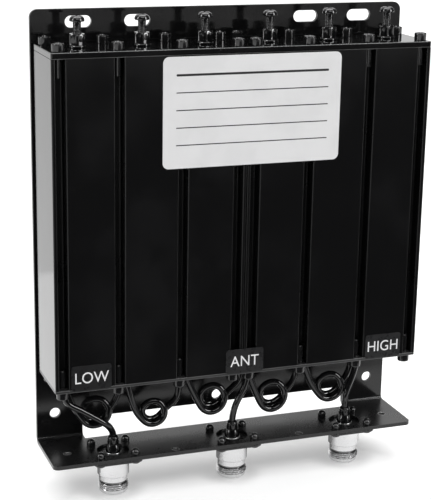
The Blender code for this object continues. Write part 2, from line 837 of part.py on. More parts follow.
def spacer(name, side, look):
    """A strip that holds the body off the bracket's plate, with two screw holes."""
    bm = bmesh.new()
    y0 = BODY_BACK_Y + SEAT_GAP
    y1 = BRACKET_FACE_Y - SEAT_GAP
    low = BODY_BOTTOM_Z + 6
    high = BODY_TOP_Z - 6
    x = side * SPACER_X
    outline = rounded_rectangle(x, (low + high) / 2, SPACER_WIDTH, high - low, 1.5, 3)
    prism(bm, outline, y0, y1, "y")
    strip = add_mesh(name, bm, look)
    cut = bmesh.new()
    for z in BRACKET_SCREW_Z:
        prism(cut, circle(x, z, BRACKET_SCREW_DIA / 2 + 0.25, 8), y0 - 1, y1 + 1, "y")
    boolean(strip, add_mesh(name + "_holes", cut, helper=True), "DIFFERENCE")
    return strip


def bracket_screw(name, x, z, look):
    """A countersunk screw from the bracket's back into the block's rear wall."""
    shank = BRACKET_SCREW_DIA / 2
    head = BRACKET_SCREW_HEAD_DIA / 2
    tip = BODY_BACK_Y - BRACKET_SCREW_REACH
    reach = BRACKET_BACK_Y - BRACKET_SCREW_SUNK - tip
    profile = [
        (0, 0),
        (shank, 0),
        (shank, reach - (head - shank)),
        (head, reach),
        (0, reach),
    ]
    bm = bmesh.new()
    turned(bm, profile, 0, 0, 8)
    screw = add_mesh(name, bm, look, round_piece=True)
    cut = bmesh.new()
    flats = hexagon(0, 0, 2.5)
    prism(cut, flats, reach - 1.4, reach + 1)
    boolean(screw, add_mesh(name + "_key", cut, helper=True), "DIFFERENCE")
    screw.modifiers[0].object.parent = screw
    screw.rotation_euler = (math.radians(-90), 0, 0)
    screw.location = Vector((x, tip, z)) * MM
    return screw


# Connectors


def flange_screw_places(x):
    half = FLANGE_HOLE_SPACING / 2
    return [(x + sx * half, CONNECTOR_Y + sy * half) for sx in (-1, 1) for sy in (-1, 1)]


def connector_shell(name, x, look):
    """The threaded shell with its flange and fixings, socket open downwards."""
    flange_top = SHELF_UNDER_Z - SEAT_GAP
    flange_low = flange_top - FLANGE_THICK
    plug = BASE_PLUG_DIA / 2
    outer = [
        (SOCKET_DIA / 2, 0.0),
        (NOSE_END_DIA / 2, 0.0),
        (NOSE_DIA / 2, 0.7),
        (NOSE_DIA / 2, THREAD_BOTTOM_Z),
        (THREAD_DIA / 2, THREAD_BOTTOM_Z + 0.3),
        (THREAD_DIA / 2, GROOVE_BOTTOM_Z),
        (GROOVE_DIA / 2, GROOVE_BOTTOM_Z),
        (GROOVE_DIA / 2, NECK_BOTTOM_Z),
        (NECK_DIA / 2, NECK_BOTTOM_Z),
        (NECK_DIA / 2, COLLAR_BOTTOM_Z - 0.4),
        (COLLAR_DIA / 2, COLLAR_BOTTOM_Z),
        (COLLAR_DIA / 2, flange_low + 0.4),
        (plug, flange_low + 0.4),
        (plug, PLUG_TOP_Z),
        (0, PLUG_TOP_Z),
    ]
    socket = [(0, SOCKET_DEEP), (SOCKET_DIA / 2, SOCKET_DEEP)]
    bm = bmesh.new()
    turned(bm, socket + outer, x, CONNECTOR_Y, 20)
    shell = add_mesh(name, bm, look)
    smooth(shell)
    plate = bmesh.new()
    radius = FLANGE_CORNER_RADIUS
    outline = rounded_rectangle(x, CONNECTOR_Y, FLANGE_SIDE, FLANGE_SIDE, radius, 3)
    prism(plate, outline, flange_low, flange_top)
    boolean(shell, add_mesh(name + "_flange", plate, helper=True), "UNION")
    fixings = bmesh.new()
    for px, py in flange_screw_places(x):
        head = FLANGE_SCREW_HEAD_DIA / 2
        shank = FLANGE_SCREW_DIA / 2
        low = flange_low - FLANGE_SCREW_HEAD_HIGH
        nut_low = SHELF_TOP_Z + SEAT_GAP
        nut = FLANGE_NUT_FLATS / 2
        tip = nut_low + FLANGE_NUT_HIGH + FLANGE_SCREW_TIP_HIGH
        profile = [
            (0, low),
            (head, low),
            (head, flange_low + 0.3),
            (shank, flange_low + 0.3),
            (shank, nut_low),
            (nut, nut_low),
            (nut, nut_low + FLANGE_NUT_HIGH),
            (shank, nut_low + FLANGE_NUT_HIGH),
            (shank, tip),
            (0, tip),
        ]
        turned(fixings, profile, px, py, 6)
    boolean(shell, add_mesh(name + "_fixings", fixings, helper=True), "UNION")
    bore = bmesh.new()
    prism(bore, circle(x, CONNECTOR_Y, 1.5, 10), SOCKET_DEEP - 1, SHELF_TOP_Z + 1)
    boolean(shell, add_mesh(name + "_bore", bore, helper=True), "DIFFERENCE")
    return shell


def connector_insulator(name, x, look):
    bm = bmesh.new()
    out = INSULATOR_DIA / 2
    hole = CONTACT_DIA / 2 + 0.1
    high = SOCKET_DEEP - SEAT_GAP
    low = high - 2.2
    profile = [(hole, low), (out, low), (out, high), (hole, high), (hole, low)]
    turned(bm, profile, x, CONNECTOR_Y, 14)
    return add_mesh(name, bm, look, round_piece=True)


def connector_contact(name, x, look):
    """The centre contact: a split sleeve in the socket and a pin up into the hood."""
    out = CONTACT_DIA / 2
    hole = CONTACT_BORE_DIA / 2
    pin = 1.1
    profile = [
        (0, CONTACT_TIP_Z + 3.2),
        (hole, CONTACT_TIP_Z + 3.2),
        (hole, CONTACT_TIP_Z),
        (out - 0.3, CONTACT_TIP_Z),
        (out, CONTACT_TIP_Z + 0.3),
        (out, SOCKET_DEEP - 0.2),
        (pin, SOCKET_DEEP - 0.2),
        (pin, PLUG_TOP_Z + 1.7),
        (0, PLUG_TOP_Z + 1.7),
    ]
    bm = bmesh.new()
    turned(bm, profile, x, CONNECTOR_Y, 8)
    contact = add_mesh(name, bm, look, round_piece=True)
    cut = bmesh.new()
    low = CONTACT_TIP_Z - 1
    high = CONTACT_TIP_Z + 2.2
    wide = 0.25
    across = [(x - 3, -wide), (x + 3, -wide), (x + 3, wide), (x - 3, wide)]
    prism(cut, [(u, CONNECTOR_Y + v) for u, v in across], low, high)
    boolean(contact, add_mesh(name + "_split", cut, helper=True), "DIFFERENCE")
    return contact


def connector_hood(name, x, look):
    """The shielding hood over the cable's end, with a bright rim at its base."""
    base = HOOD_BASE_DIA / 2
    neck = HOOD_NECK_DIA / 2
    bore = HOOD_BORE_DIA / 2
    z = HOOD_LOW_Z
    profile = [
        (bore, z + HOOD_HIGH),
        (bore, z + 2.0),
        (1.6, z + 1.0),
        (1.6, z),
        (base, z),
        (base, z + HOOD_BASE_HIGH),
        (base - 0.5, z + HOOD_BASE_HIGH),
        (neck + 0.2, z + HOOD_CONE_HIGH),
        (neck, z + HOOD_CONE_HIGH + 0.8),
        (neck, z + HOOD_HIGH - 1.0),
        (neck - 0.5, z + HOOD_HIGH),
        (bore, z + HOOD_HIGH),
    ]
    bm = bmesh.new()
    turned(bm, profile, x, CONNECTOR_Y, 12)
    return add_mesh(name, bm, look, round_piece=True)


# Labels


def label(name, x, z, width, high, radius, look):
    bm = bmesh.new()
    outline = rounded_rectangle(0, 0, width, high, radius, 3)
    y1 = BODY_FRONT_Y - LABEL_GAP
    prism(bm, outline, -LABEL_THICK, 0, "y")
    made = add_mesh(name, bm, look)
    made.location = Vector((x, y1, z)) * MM
    return made


def build():
    clear_scene()
    black = material("black_body", (0.012, 0.012, 0.013), 0.22, 0.3)
    cover_black = material("black_cover", (0.016, 0.016, 0.017), 0.16, 0.35)
    sheet_black = material("black_bracket", (0.02, 0.02, 0.021), 0.32, 0.2)
    nut_black = material("black_nut", (0.015, 0.015, 0.016), 0.25, 0.6)
    screw_black = material("black_screw", (0.02, 0.02, 0.021), 0.28, 0.6)
    silver = material("silvered_rod", (0.72, 0.71, 0.68), 0.28, 1.0)
    copper = material("copper_wire", (0.72, 0.38, 0.24), 0.3, 1.0)
    cable = material("black_cable", (0.01, 0.01, 0.011), 0.2, 0.0)
    nickel = material("nickel_shell", (0.72, 0.71, 0.69), 0.2, 1.0)
    white_plastic = material("white_insulator", (0.85, 0.85, 0.83), 0.5, 0.0)
    gold = material("gold_contact", (0.85, 0.62, 0.28), 0.25, 1.0)
    hood_black = material("black_hood", (0.012, 0.012, 0.013), 0.15, 0.5)
    spacer_black = material("black_spacer", (0.02, 0.02, 0.02), 0.6, 0.0)
    label_white = material("white_label", (0.75, 0.75, 0.76), 0.45, 0.0)
    label_black = material("black_label", (0.018, 0.018, 0.019), 0.35, 0.0)

    cavity_block("cavity_block_low", -1, black)
    cavity_block("cavity_block_high", 1, black)
    holes = [circle(x, BODY_MID_Y, TUNER_HOLE_DIA / 2, 16) for x in CAVITY_XS]
    cover("top_cover", COVER_TOP_UNDER_Z, BODY_TOP_Z, 1, holes, cover_black)
    cover("bottom_cover", BODY_BOTTOM_Z, FLOOR_Z, -1, cable_ports(), cover_black)
    mounting_bracket(sheet_black)
    spacer("bracket_spacer_left", -1, spacer_black)
    spacer("bracket_spacer_right", 1, spacer_black)
    count = 0
    for x in (-SPACER_X, SPACER_X):
        for z in BRACKET_SCREW_Z:
            count += 1
            bracket_screw(f"bracket_screw_{count}", x, z, screw_black)
    for number, x in enumerate(CAVITY_XS, 1):
        higher = TUNER_SET_HIGHER[number - 1]
        tuning_screw(f"tuning_screw_{number}", x, higher, screw_black)
        lock_nut(f"lock_nut_{number}", x, nut_black)
        resonator_rod(f"resonator_rod_{number}", x, silver)
        coupling_loop(f"coupling_loop_{number}", x + ENTRY_FROM_CAVITY, copper)
    for index in range(5):
        link_cable(f"link_cable_{index + 1}", index, cable)
    for port, cavity in (("low", 0), ("antenna", 3), ("high", 5)):
        feed_cable(f"feed_cable_{port}", ENTRY_XS[cavity], port, cable)
    for port, x in CONNECTOR_XS.items():
        connector_shell(f"connector_shell_{port}", x, nickel)
        connector_insulator(f"connector_insulator_{port}", x, white_plastic)
        connector_contact(f"connector_contact_{port}", x, gold)
        connector_hood(f"connector_hood_{port}", x, hood_black)
        label(
            f"port_label_{port}",
            PORT_LABEL_X[port],
            PORT_LABEL_Z,
            PORT_LABEL_WIDTH,
            PORT_LABEL_HIGH,
            PORT_LABEL_RADIUS,
            label_black,
        )
    label(
        "main_label",
        MAIN_LABEL_X,
        MAIN_LABEL_Z,
        MAIN_LABEL_WIDTH,
        MAIN_LABEL_HIGH,
        MAIN_LABEL_RADIUS,
        label_white,
    )


build()
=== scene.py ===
"""Looks of the duplexer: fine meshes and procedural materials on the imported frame."""

import math

import bmesh
import bpy
import numpy as np
from mathutils import Matrix, Vector


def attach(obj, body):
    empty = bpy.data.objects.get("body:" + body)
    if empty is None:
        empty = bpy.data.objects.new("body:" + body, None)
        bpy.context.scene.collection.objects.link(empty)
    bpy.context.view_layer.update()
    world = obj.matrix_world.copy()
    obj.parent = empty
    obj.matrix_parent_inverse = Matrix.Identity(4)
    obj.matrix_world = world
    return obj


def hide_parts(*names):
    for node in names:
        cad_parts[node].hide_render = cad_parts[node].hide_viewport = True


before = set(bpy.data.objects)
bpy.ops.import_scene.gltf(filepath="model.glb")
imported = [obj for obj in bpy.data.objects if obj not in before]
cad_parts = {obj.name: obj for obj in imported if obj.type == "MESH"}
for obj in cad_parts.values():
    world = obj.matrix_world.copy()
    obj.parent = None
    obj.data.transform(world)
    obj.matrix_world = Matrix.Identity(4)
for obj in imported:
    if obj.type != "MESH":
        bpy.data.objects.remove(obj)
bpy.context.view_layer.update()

MM = 0.001
ROOT = "duplexer"

# Body: two blocks between two covers, in millimetres as all sizes of the object here
SEAT_GAP = 0.05
BODY_WIDTH, BODY_DEPTH, BODY_FRONT_Y = 196.0, 35.0, -20.0
BODY_BACK_Y = BODY_FRONT_Y + BODY_DEPTH
BODY_MID_Y = BODY_FRONT_Y + BODY_DEPTH / 2
BODY_BOTTOM_Z, BODY_HIGH = 60.9, 167.0
BODY_TOP_Z = BODY_BOTTOM_Z + BODY_HIGH
TOP_THICK, BOTTOM_THICK = 3.0, 1.5
FLOOR_Z = BODY_BOTTOM_Z + BOTTOM_THICK
COVER_UNDER_Z = BODY_TOP_Z - TOP_THICK
COVER_CORNER = 0.8
HALF_BLOCK = BODY_WIDTH / 4
SEAM_GAP = 0.3
CAVITY_PITCH, CAVITY_WIDTH, CAVITY_INSET = 32.0, 29.4, 2.6
CAVITY_NOTCH, CAVITY_SLOPE = 5.6, 1.2
CAVITY_STEP_INNER, CAVITY_STEP_END = 3.4, 6.2
CHANNEL_FROM_EDGE, CHANNEL_WIDTH, CHANNEL_DEPTH = 4.4, 4.6, 6.4
OUTER_CHANNEL = HALF_BLOCK - CHANNEL_FROM_EDGE
BLOCK_CHANNELS = (-OUTER_CHANNEL, -CAVITY_PITCH / 2, CAVITY_PITCH / 2, OUTER_CHANNEL)
CHANNEL_XS = [side * HALF_BLOCK + x for side in (-1, 1) for x in BLOCK_CHANNELS]
CAVITY_XS = [side * HALF_BLOCK + step * CAVITY_PITCH for side in (-1, 1) for step in (-1, 0, 1)]

# Cap screws, tuning screws and lock nuts
SCREW_INSET, SCREW_REACH = 4.1, 9.0
SCREW_YS = (BODY_FRONT_Y + SCREW_INSET, BODY_BACK_Y - SCREW_INSET)
SCREW_HEAD_RADIUS, SCREW_HEAD_HIGH, SCREW_SHANK_RADIUS = 3.0, 4.0, 1.75
SCREW_KEY_FLATS, SCREW_KEY_DEEP = 2.5, 2.2
TUNER_ABOVE_COVER, TUNER_LENGTH = 12.3, 42.0
TUNER_SET_HIGHER = (0.0, 0.0, 0.4, 0.5, 0.9, 0.9)
TUNER_RADIUS, TUNER_THREAD_PITCH, TUNER_THREAD_DEEP = 2.05, 0.7, 0.26
TUNER_HEAD_RADIUS, TUNER_HEAD_HIGH = 3.6, 2.8
TUNER_HOLE_RADIUS = 2.25
NUT_FLATS, NUT_HIGH, NUT_BORE_RADIUS = 7.4, 5.4, 2.25
WASHER_RADIUS, WASHER_HIGH, WASHER_BORE_RADIUS = 4.3, 1.0, 2.4

# Bracket
SHEET_THICK, BEND_RADIUS, BRACKET_WIDTH = 2.0, 2.0, 198.0
BRACKET_FACE_Y, BRACKET_TOP_Z = 18.0, 243.9
BRACKET_BACK_Y = BRACKET_FACE_Y + SHEET_THICK
SHELF_TOP_Z, SHELF_FRONT_Y = 22.1, -18.6
SHELF_UNDER_Z = SHELF_TOP_Z - SHEET_THICK
PLATE_CORNER, SHELF_CORNER = 4.0, 3.0
SLOT_XS, SLOT_Z, SLOT_LENGTH, SLOT_HIGH = (-75.0, -45.0, 45.0, 75.0), 237.6, 13.4, 5.9
HOLE_XS, HOLE_Z, HOLE_RADIUS = (-89.3, 0.0, 89.3), 35.9, 2.8
SUNK_SCREW_XS, SUNK_SCREW_ZS = (-88.0, 88.0), (84.2, 204.2)
WINDOW_WIDTH, WINDOW_TOP_Z, WINDOW_FRONT_Y, WINDOW_CORNER = 149.4, 31.6, 12.6, 2.0
SHELF_HOLES = ((-88.6, -4.0), (88.6, -4.0), (-34.4, -15.3), (34.4, -15.3))
SHELF_HOLE_RADIUS = 1.9

# Connectors
PORTS = {"low": -65.0, "antenna": 0.0, "high": 65.0}
PORT_Y, PORT_HOLE_RADIUS = -6.0, 8.3
FLANGE_SIDE, FLANGE_THICK, FLANGE_CORNER = 25.4, 1.2, 3.2
FLANGE_TOP_Z = SHELF_UNDER_Z - SEAT_GAP
FLANGE_LOW_Z = FLANGE_TOP_Z - FLANGE_THICK
FLANGE_HOLE_OUT, FLANGE_HOLE_RADIUS = 9.15, 1.6
THREAD_RADIUS, THREAD_DEEP, THREAD_PITCH = 7.95, 0.68, 1.06
THREAD_LOW_Z, THREAD_HIGH, THREAD_ROOT_RADIUS = 2.2, 3.15, 7.45
PLUG_TOP_Z = SHELF_TOP_Z - 1.6
HOOD_LOW_Z = PLUG_TOP_Z + SEAT_GAP
HOOD_TOP_Z = HOOD_LOW_Z + 9.3

# Cables
COAX_DIAMETER, CABLE_PORT_WIDTH, COAX_ABOVE_FLOOR = 3.4, 4.8, 3.0
ENTRY_XS = [x - 9.4 for x in CAVITY_XS]
LEAD_LEAN, LEAD_OUT_Y, LEAD_IN_Y, FEED_ROW_Y = 0.3, -4.4, -0.2, -8.4
RING_RADIUS = (6.6, 5.7, 6.4, 6.6, 6.4)
RING_BELOW_BODY = (17.5, 21.5, 17.3, 19.5, 18.5)
RING_SHIFT = (1.0, -0.2, -0.95, 0.0, 1.2)
LEAD_SAG = (0.8, 0.8, 1.6, 1.8, 1.0)

# Labels, whose sizes are width, height and corner radius
LABEL_FACE_Y, LABEL_THICK = -20.3, 0.2
MAIN_LABEL_X, MAIN_LABEL_Z = 2.25, BODY_TOP_Z - 30.5
MAIN_LABEL_SIZE = (92.4, 54.1, 3.0)
PORT_LABEL_SIZE = (20.4, 12.8, 1.5)
PORT_LABEL_Z = BODY_BOTTOM_Z + 7.4
PORT_WORDS = {
    "low": (-BODY_WIDTH / 2 + 18.1, "LOW"),
    "antenna": (0.7, "ANT"),
    "high": (BODY_WIDTH / 2 - 19.2, "HIGH"),
}

# Camera, from a perspective fit of the photograph's corners: pixels, millimetres and radians
PHOTO_HIGH, FOCAL_LENGTH = 500, 1432.3643658
CAMERA_PLACE = (-252.33978, -661.28469, 317.78593)
CAMERA_YAW, CAMERA_PITCH, CAMERA_ROLL = 0.35300398, 0.27085126, 0.01659744


# Mesh helpers


def arc(cx, cy, radius, start, end, steps):
    turns = [math.radians(start + (end - start) * i / steps) for i in range(steps + 1)]
    return [(cx + radius * math.cos(t), cy + radius * math.sin(t)) for t in turns]


def circle(cx, cy, radius, steps):
    return arc(cx, cy, radius, 0, 360, steps)[:-1]


def rounded_rectangle(cx, cy, width, high, radius, steps=8):
    points = []
    for sx, sy, start in ((1, 1, 0), (-1, 1, 90), (-1, -1, 180), (1, -1, 270)):
        x = cx + sx * (width / 2 - radius)
        y = cy + sy * (high / 2 - radius)
        points += arc(x, y, radius, start, start + 90, steps)
    return points


def obround(cx, cy, length, width, steps=12):
    reach = (length - width) / 2
    right_end = arc(cx + reach, cy, width / 2, -90, 90, steps)
    return right_end + arc(cx - reach, cy, width / 2, 90, 270, steps)


def prism(bm, outline, low, high, axis="z"):
    """An outline in the plane across an axis, drawn out along it."""
    place = {
        "z": lambda u, v, w: (u, v, w),
        "y": lambda u, v, w: (u, w, v),
        "x": lambda u, v, w: (w, u, v),
    }[axis]
    verts = [bm.verts.new(place(u, v, low)) for u, v in outline]
    face = bm.faces.new(verts)
    made = bmesh.ops.extrude_face_region(bm, geom=[face])
    moved = [item for item in made["geom"] if isinstance(item, bmesh.types.BMVert)]
    bmesh.ops.translate(bm, verts=moved, vec=Vector(place(0, 0, high - low)))
    faces = {face for vert in verts + moved for face in vert.link_faces}
    bmesh.ops.recalc_face_normals(bm, faces=list(faces))


def turned(bm, profile, cx, cy, steps=48, slots=None):
    """A closed solid of revolution built ring by ring. slots gives a material for each band."""
    rings = []
    for radius, z in profile:
        if radius < 1e-6:
            rings.append([bm.verts.new((cx, cy, z))])
            continue
        rings.append([bm.verts.new((x, y, z)) for x, y in circle(cx, cy, radius, steps)])
    faces = []
    for band, (first, second) in enumerate(zip(rings, rings[1:])):
        for i in range(steps):
            j = (i + 1) % steps
            corners = [first[i % len(first)], first[j % len(first)]]
            corners += [second[j % len(second)], second[i % len(second)]]
            whole = []
            for vert in corners:
                if vert not in whole:
                    whole.append(vert)
            if len(whole) < 3:
                continue
            face = bm.faces.new(whole)
            face.material_index = slots[band] if slots else 0
            faces.append(face)
    bmesh.ops.recalc_face_normals(bm, faces=faces)
    return rings


def skin(bm, rings):
    """Faces between each ring of points and the next."""
    faces = []
    for first, second in zip(rings, rings[1:]):
        for i in range(len(first)):
            j = (i + 1) % len(first)
            faces.append(bm.faces.new([first[i], first[j], second[j], second[i]]))
    return faces


def absorb(bm, other):
    """Moves one bmesh's geometry into another."""
    mesh = bpy.data.meshes.new("join")
    other.to_mesh(mesh)
    other.free()
    bm.from_mesh(mesh)
    bpy.data.meshes.remove(mesh)


def cross_cuts(x, y, half_width, half_length, low, high, turn):
    """Two crossed bars that cut a cross recess or four slots."""
    bar = [(-half_width, -half_length), (half_width, -half_length)]
    bar += [(half_width, half_length), (-half_width, half_length)]
    cuts = []
    for quarter in (0, 90):
        cut = bmesh.new()
        prism(cut, bar, low, high)
        spin = Matrix.Rotation(math.radians(turn + quarter), 4, "Z")
        bmesh.ops.transform(cut, matrix=Matrix.Translation((x, y, 0)) @ spin, verts=cut.verts)
        cuts.append(cut)
    return cuts


SMOOTH_PIECES = []


def linked(name, data):
    """A new object in the scene."""
    obj = bpy.data.objects.new(name, data)
    bpy.context.scene.collection.objects.link(obj)
    return obj


def add_piece(name, bm, looks, body=ROOT, replaces=(), slot=None, angle=32.0, soft=True):
    """A piece of the dressed object, from a bmesh in millimetres."""
    mesh = bpy.data.meshes.new(name)
    bm.to_mesh(mesh)
    bm.free()
    mesh.transform(Matrix.Scale(MM, 4))
    for look in looks:
        mesh.materials.append(look)
    obj = linked(name, mesh)
    if soft:
        mesh.shade_smooth()
        mesh.set_sharp_from_angle(angle=math.radians(angle))
        SMOOTH_PIECES.append(obj)
    if body:
        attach(obj, body)
    if replaces:
        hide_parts(*replaces)
    return obj


def dress(node, bm, looks, slot, **more):
    """A piece in place of a node."""
    return add_piece(node + "_look", bm, looks, replaces=[node], slot=slot, **more)


def even_faces():
    """Flat faces shade flat and only the rounded edges carry the turn of the normals."""
    for obj in SMOOTH_PIECES:
        modifier = obj.modifiers.new("even", "WEIGHTED_NORMAL")
        modifier.keep_sharp = True


def cut_mesh(bm, cutters):
    """The bmesh less the closed solids in each cutter, worked out exactly."""
    tools = []
    made = bpy.data.meshes.new("tool")
    bm.to_mesh(made)
    bm.free()
    base = linked("tool", made)
    for cutter in cutters:
        mesh = bpy.data.meshes.new("cutter")
        cutter.to_mesh(mesh)
        cutter.free()
        other = linked("cutter", mesh)
        modifier = base.modifiers.new("cut", "BOOLEAN")
        modifier.solver = "EXACT"
        modifier.operation = "DIFFERENCE"
        modifier.object = other
        tools.append(other)
    bpy.context.view_layer.update()
    graph = bpy.context.evaluated_depsgraph_get()
    result = bmesh.new()
    result.from_mesh(base.evaluated_get(graph).to_mesh())
    for obj in [base, *tools]:
        bpy.data.objects.remove(obj, do_unlink=True)
    bmesh.ops.remove_doubles(result, verts=result.verts, dist=1e-4)
    flat = math.radians(0.5)
    bmesh.ops.dissolve_limit(result, angle_limit=flat, verts=result.verts, edges=result.edges)
    return result


def soften(obj, width, segments=2, angle=40.0, slot=-1):
    """Rounded edges on a finished piece. slot gives them a look of their own."""
    modifier = obj.modifiers.new("edge", "BEVEL")
    modifier.width = width * MM
    modifier.segments = segments
    modifier.limit_method = "ANGLE"
    modifier.angle_limit = math.radians(angle)
    modifier.harden_normals = True
    modifier.material = slot


# Materials


class Look:
    """A procedural material that is built up node by node on a Principled shader."""

    def __init__(self, name, colour, roughness, metallic=0.0, ior=1.5):
        self.made = bpy.data.materials.new(name)
        self.made.use_nodes = True
        self.tree = self.made.node_tree
        self.shader = self.tree.nodes["Principled BSDF"]
        self.set("Base Color", (*colour, 1.0))
        self.set("Roughness", roughness)
        self.set("Metallic", metallic)
        self.set("IOR", ior)
        self.place = self.tree.nodes.new("ShaderNodeTexCoord").outputs["Object"]
        self.height = None
        self.colour = None

    def set(self, name, value):
        self.shader.inputs[name].default_value = value

    def mapped(self, stretch):
        mapping = self.tree.nodes.new("ShaderNodeMapping")
        mapping.inputs["Scale"].default_value = stretch
        self.tree.links.new(self.place, mapping.inputs["Vector"])
        return mapping.outputs["Vector"]

    def grain(self, scale, detail, stretch=(1, 1, 1)):
        made = self.tree.nodes.new("ShaderNodeTexNoise")
        made.inputs["Scale"].default_value = scale
        made.inputs["Detail"].default_value = detail
        self.tree.links.new(self.mapped(stretch), made.inputs["Vector"])
        return made.outputs["Fac"]

    def span(self, value, low, high, out_low, out_high):
        made = self.tree.nodes.new("ShaderNodeMapRange")
        made.interpolation_type = "SMOOTHSTEP"
        made.inputs["From Min"].default_value = low
        made.inputs["From Max"].default_value = high
        made.inputs["To Min"].default_value = out_low
        made.inputs["To Max"].default_value = out_high
        self.tree.links.new(value, made.inputs["Value"])
        return made.outputs["Result"]

    def maths(self, kind, first, second):
        made = self.tree.nodes.new("ShaderNodeMath")
        made.operation = kind
        for socket, value in zip(made.inputs, (first, second)):
            if isinstance(value, (int, float)):
                socket.default_value = value
            else:
                self.tree.links.new(value, socket)
        return made.outputs["Value"]

    def tint(self, mask, colour):
        """Mixes a colour in where the mask is 1."""
        made = self.tree.nodes.new("ShaderNodeMix")
        made.data_type = "RGBA"
        sockets = [item for item in made.inputs if item.type == "RGBA"]
        if self.colour is None:
            sockets[0].default_value = self.shader.inputs["Base Color"].default_value
        else:
            self.tree.links.new(self.colour, sockets[0])
        sockets[1].default_value = (*colour, 1.0)
        self.tree.links.new(mask, made.inputs[0])
        self.colour = [item for item in made.outputs if item.type == "RGBA"][0]
        self.tree.links.new(self.colour, self.shader.inputs["Base Color"])

    def rough(self, value):
        self.tree.links.new(value, self.shader.inputs["Roughness"])

    def uneven(self, scale, low, high):
        """Roughness that drifts between two values."""
        self.rough(self.span(self.grain(scale, 3.0), 0.3, 0.7, low, high))

    def mottle(self, scale, detail, start, end, share, colour):
        """A second colour in soft patches."""
        self.tint(self.span(self.grain(scale, detail), start, end, 0.0, share), colour)

    def bump(self, height, strength, distance):
        made = self.tree.nodes.new("ShaderNodeBump")
        made.inputs["Strength"].default_value = strength
        made.inputs["Distance"].default_value = distance
        self.tree.links.new(height, made.inputs["Height"])
        if self.height is not None:
            self.tree.links.new(self.height, made.inputs["Normal"])
        self.height = made.outputs["Normal"]
        self.tree.links.new(self.height, self.shader.inputs["Normal"])

    def port_distance(self):
        """Distance from the nearest connector's axis, and the height."""
        split = self.tree.nodes.new("ShaderNodeSeparateXYZ")
        self.tree.links.new(self.place, split.inputs[0])
        step = PORTS["high"] * MM
        port = self.maths("ROUND", self.maths("DIVIDE", split.outputs["X"], step), 0.0)
        port = self.maths("MINIMUM", self.maths("MAXIMUM", port, -1.0), 1.0)
        across = self.maths("SUBTRACT", split.outputs["X"], self.maths("MULTIPLY", port, step))
        along = self.maths("SUBTRACT", split.outputs["Y"], PORT_Y * MM)
        across, along = (self.maths("MULTIPLY", side, side) for side in (across, along))
        return self.maths("SQRT", self.maths("ADD", across, along), 0.0), split.outputs["Z"]

    def specks(self, scale, size, share, colour):
        """Small scattered specks of dust."""
        cells = self.tree.nodes.new("ShaderNodeTexVoronoi")
        cells.inputs["Scale"].default_value = scale
        self.tree.links.new(self.place, cells.inputs["Vector"])
        near = self.span(cells.outputs["Distance"], size * 0.6, size, 1.0, 0.0)
        split = self.tree.nodes.new("ShaderNodeSeparateColor")
        self.tree.links.new(cells.outputs["Color"], split.inputs["Color"])
        chosen = self.span(split.outputs["Red"], 1 - share, 1 - share * 0.5, 0.0, 1.0)
        self.tint(self.maths("MULTIPLY", near, chosen), colour)


def black_paint(name, colour, rough, ior=1.5, drawn=False, peel=0.4, specks=True):
    """Black coat with an orange-peel bump. drawn adds an extrusion's fine upright lines."""
    look = Look(name, colour, rough, ior=ior)
    broad = look.grain(45.0, 3.0)
    fine = look.grain(1400.0, 2.0)
    mixed = look.maths("ADD", look.maths("MULTIPLY", broad, 0.7), look.maths("MULTIPLY", fine, 0.3))
    look.rough(look.span(mixed, 0.3, 0.7, rough * 0.82, rough * 1.22))
    lighter = tuple(min(1.0, value * 1.8 + 0.002) for value in colour)
    look.mottle(28.0, 4.0, 0.45, 0.75, 0.6, lighter)
    if drawn:
        lines = look.grain(2600.0, 2.0, (1, 1, 0.004))
        look.bump(lines, 0.10, 0.00003)
    look.bump(look.grain(520.0, 2.0), peel, 0.000012)
    if specks:
        look.specks(330.0, 0.055, 0.06, (0.16, 0.16, 0.16))
    return look.made


def plated(name, colour, rough):
    """Bright plated metal with fine turning lines round a vertical axis."""
    look = Look(name, colour, rough, metallic=1.0)
    look.uneven(160.0, rough * 0.7, rough * 1.4)
    dull = tuple(value * 0.82 for value in colour)
    look.mottle(90.0, 4.0, 0.5, 0.8, 0.5, dull)
    look.bump(look.grain(3600.0, 1.0, (0.02, 0.02, 1)), 0.12, 0.00002)
    look.bump(look.grain(900.0, 2.0), 0.1, 0.00001)
    return look.made


def nickel_with_painted_root_shade(name, colour, rough):
    """Bright nickel with thread roots painted darker as painted shade, after the distance from each
    connector's axis.
    """
    look = Look(name, colour, rough, metallic=1.0)
    look.uneven(160.0, rough * 0.7, rough * 1.4)
    dull = tuple(value * 0.85 for value in colour)
    look.mottle(90.0, 4.0, 0.5, 0.8, 0.5, dull)
    radius, height = look.port_distance()
    below_neck = look.span(height, 6.6 * MM, 6.8 * MM, 1.0, 0.0)
    above_nose = look.span(height, 1.9 * MM, 2.2 * MM, 0.0, 1.0)
    outside = look.span(radius, 6.0 * MM, 6.2 * MM, 0.0, 1.0)
    band = look.maths("MULTIPLY", look.maths("MULTIPLY", below_neck, above_nose), outside)
    # Painted shade in the thread roots
    root = look.maths("MULTIPLY", look.span(radius, 7.2 * MM, 7.7 * MM, 1.0, 0.0), band)
    look.tint(root, (0.2, 0.2, 0.202))
    look.bump(look.grain(3600.0, 1.0, (0.02, 0.02, 1)), 0.1, 0.00002)
    look.bump(look.grain(900.0, 2.0), 0.1, 0.00001)
    return look.made


def black_metal(name, colour, rough):
    """Blackened steel. The coat covers the metal, so it mirrors as paint does."""
    look = Look(name, colour, rough, ior=1.6)
    look.uneven(700.0, rough * 0.75, rough * 1.35)
    look.mottle(240.0, 3.0, 0.5, 0.8, 0.6, tuple(c * 2.0 for c in colour))
    look.bump(look.grain(1100.0, 3.0), 0.25, 0.00001)
    return look.made


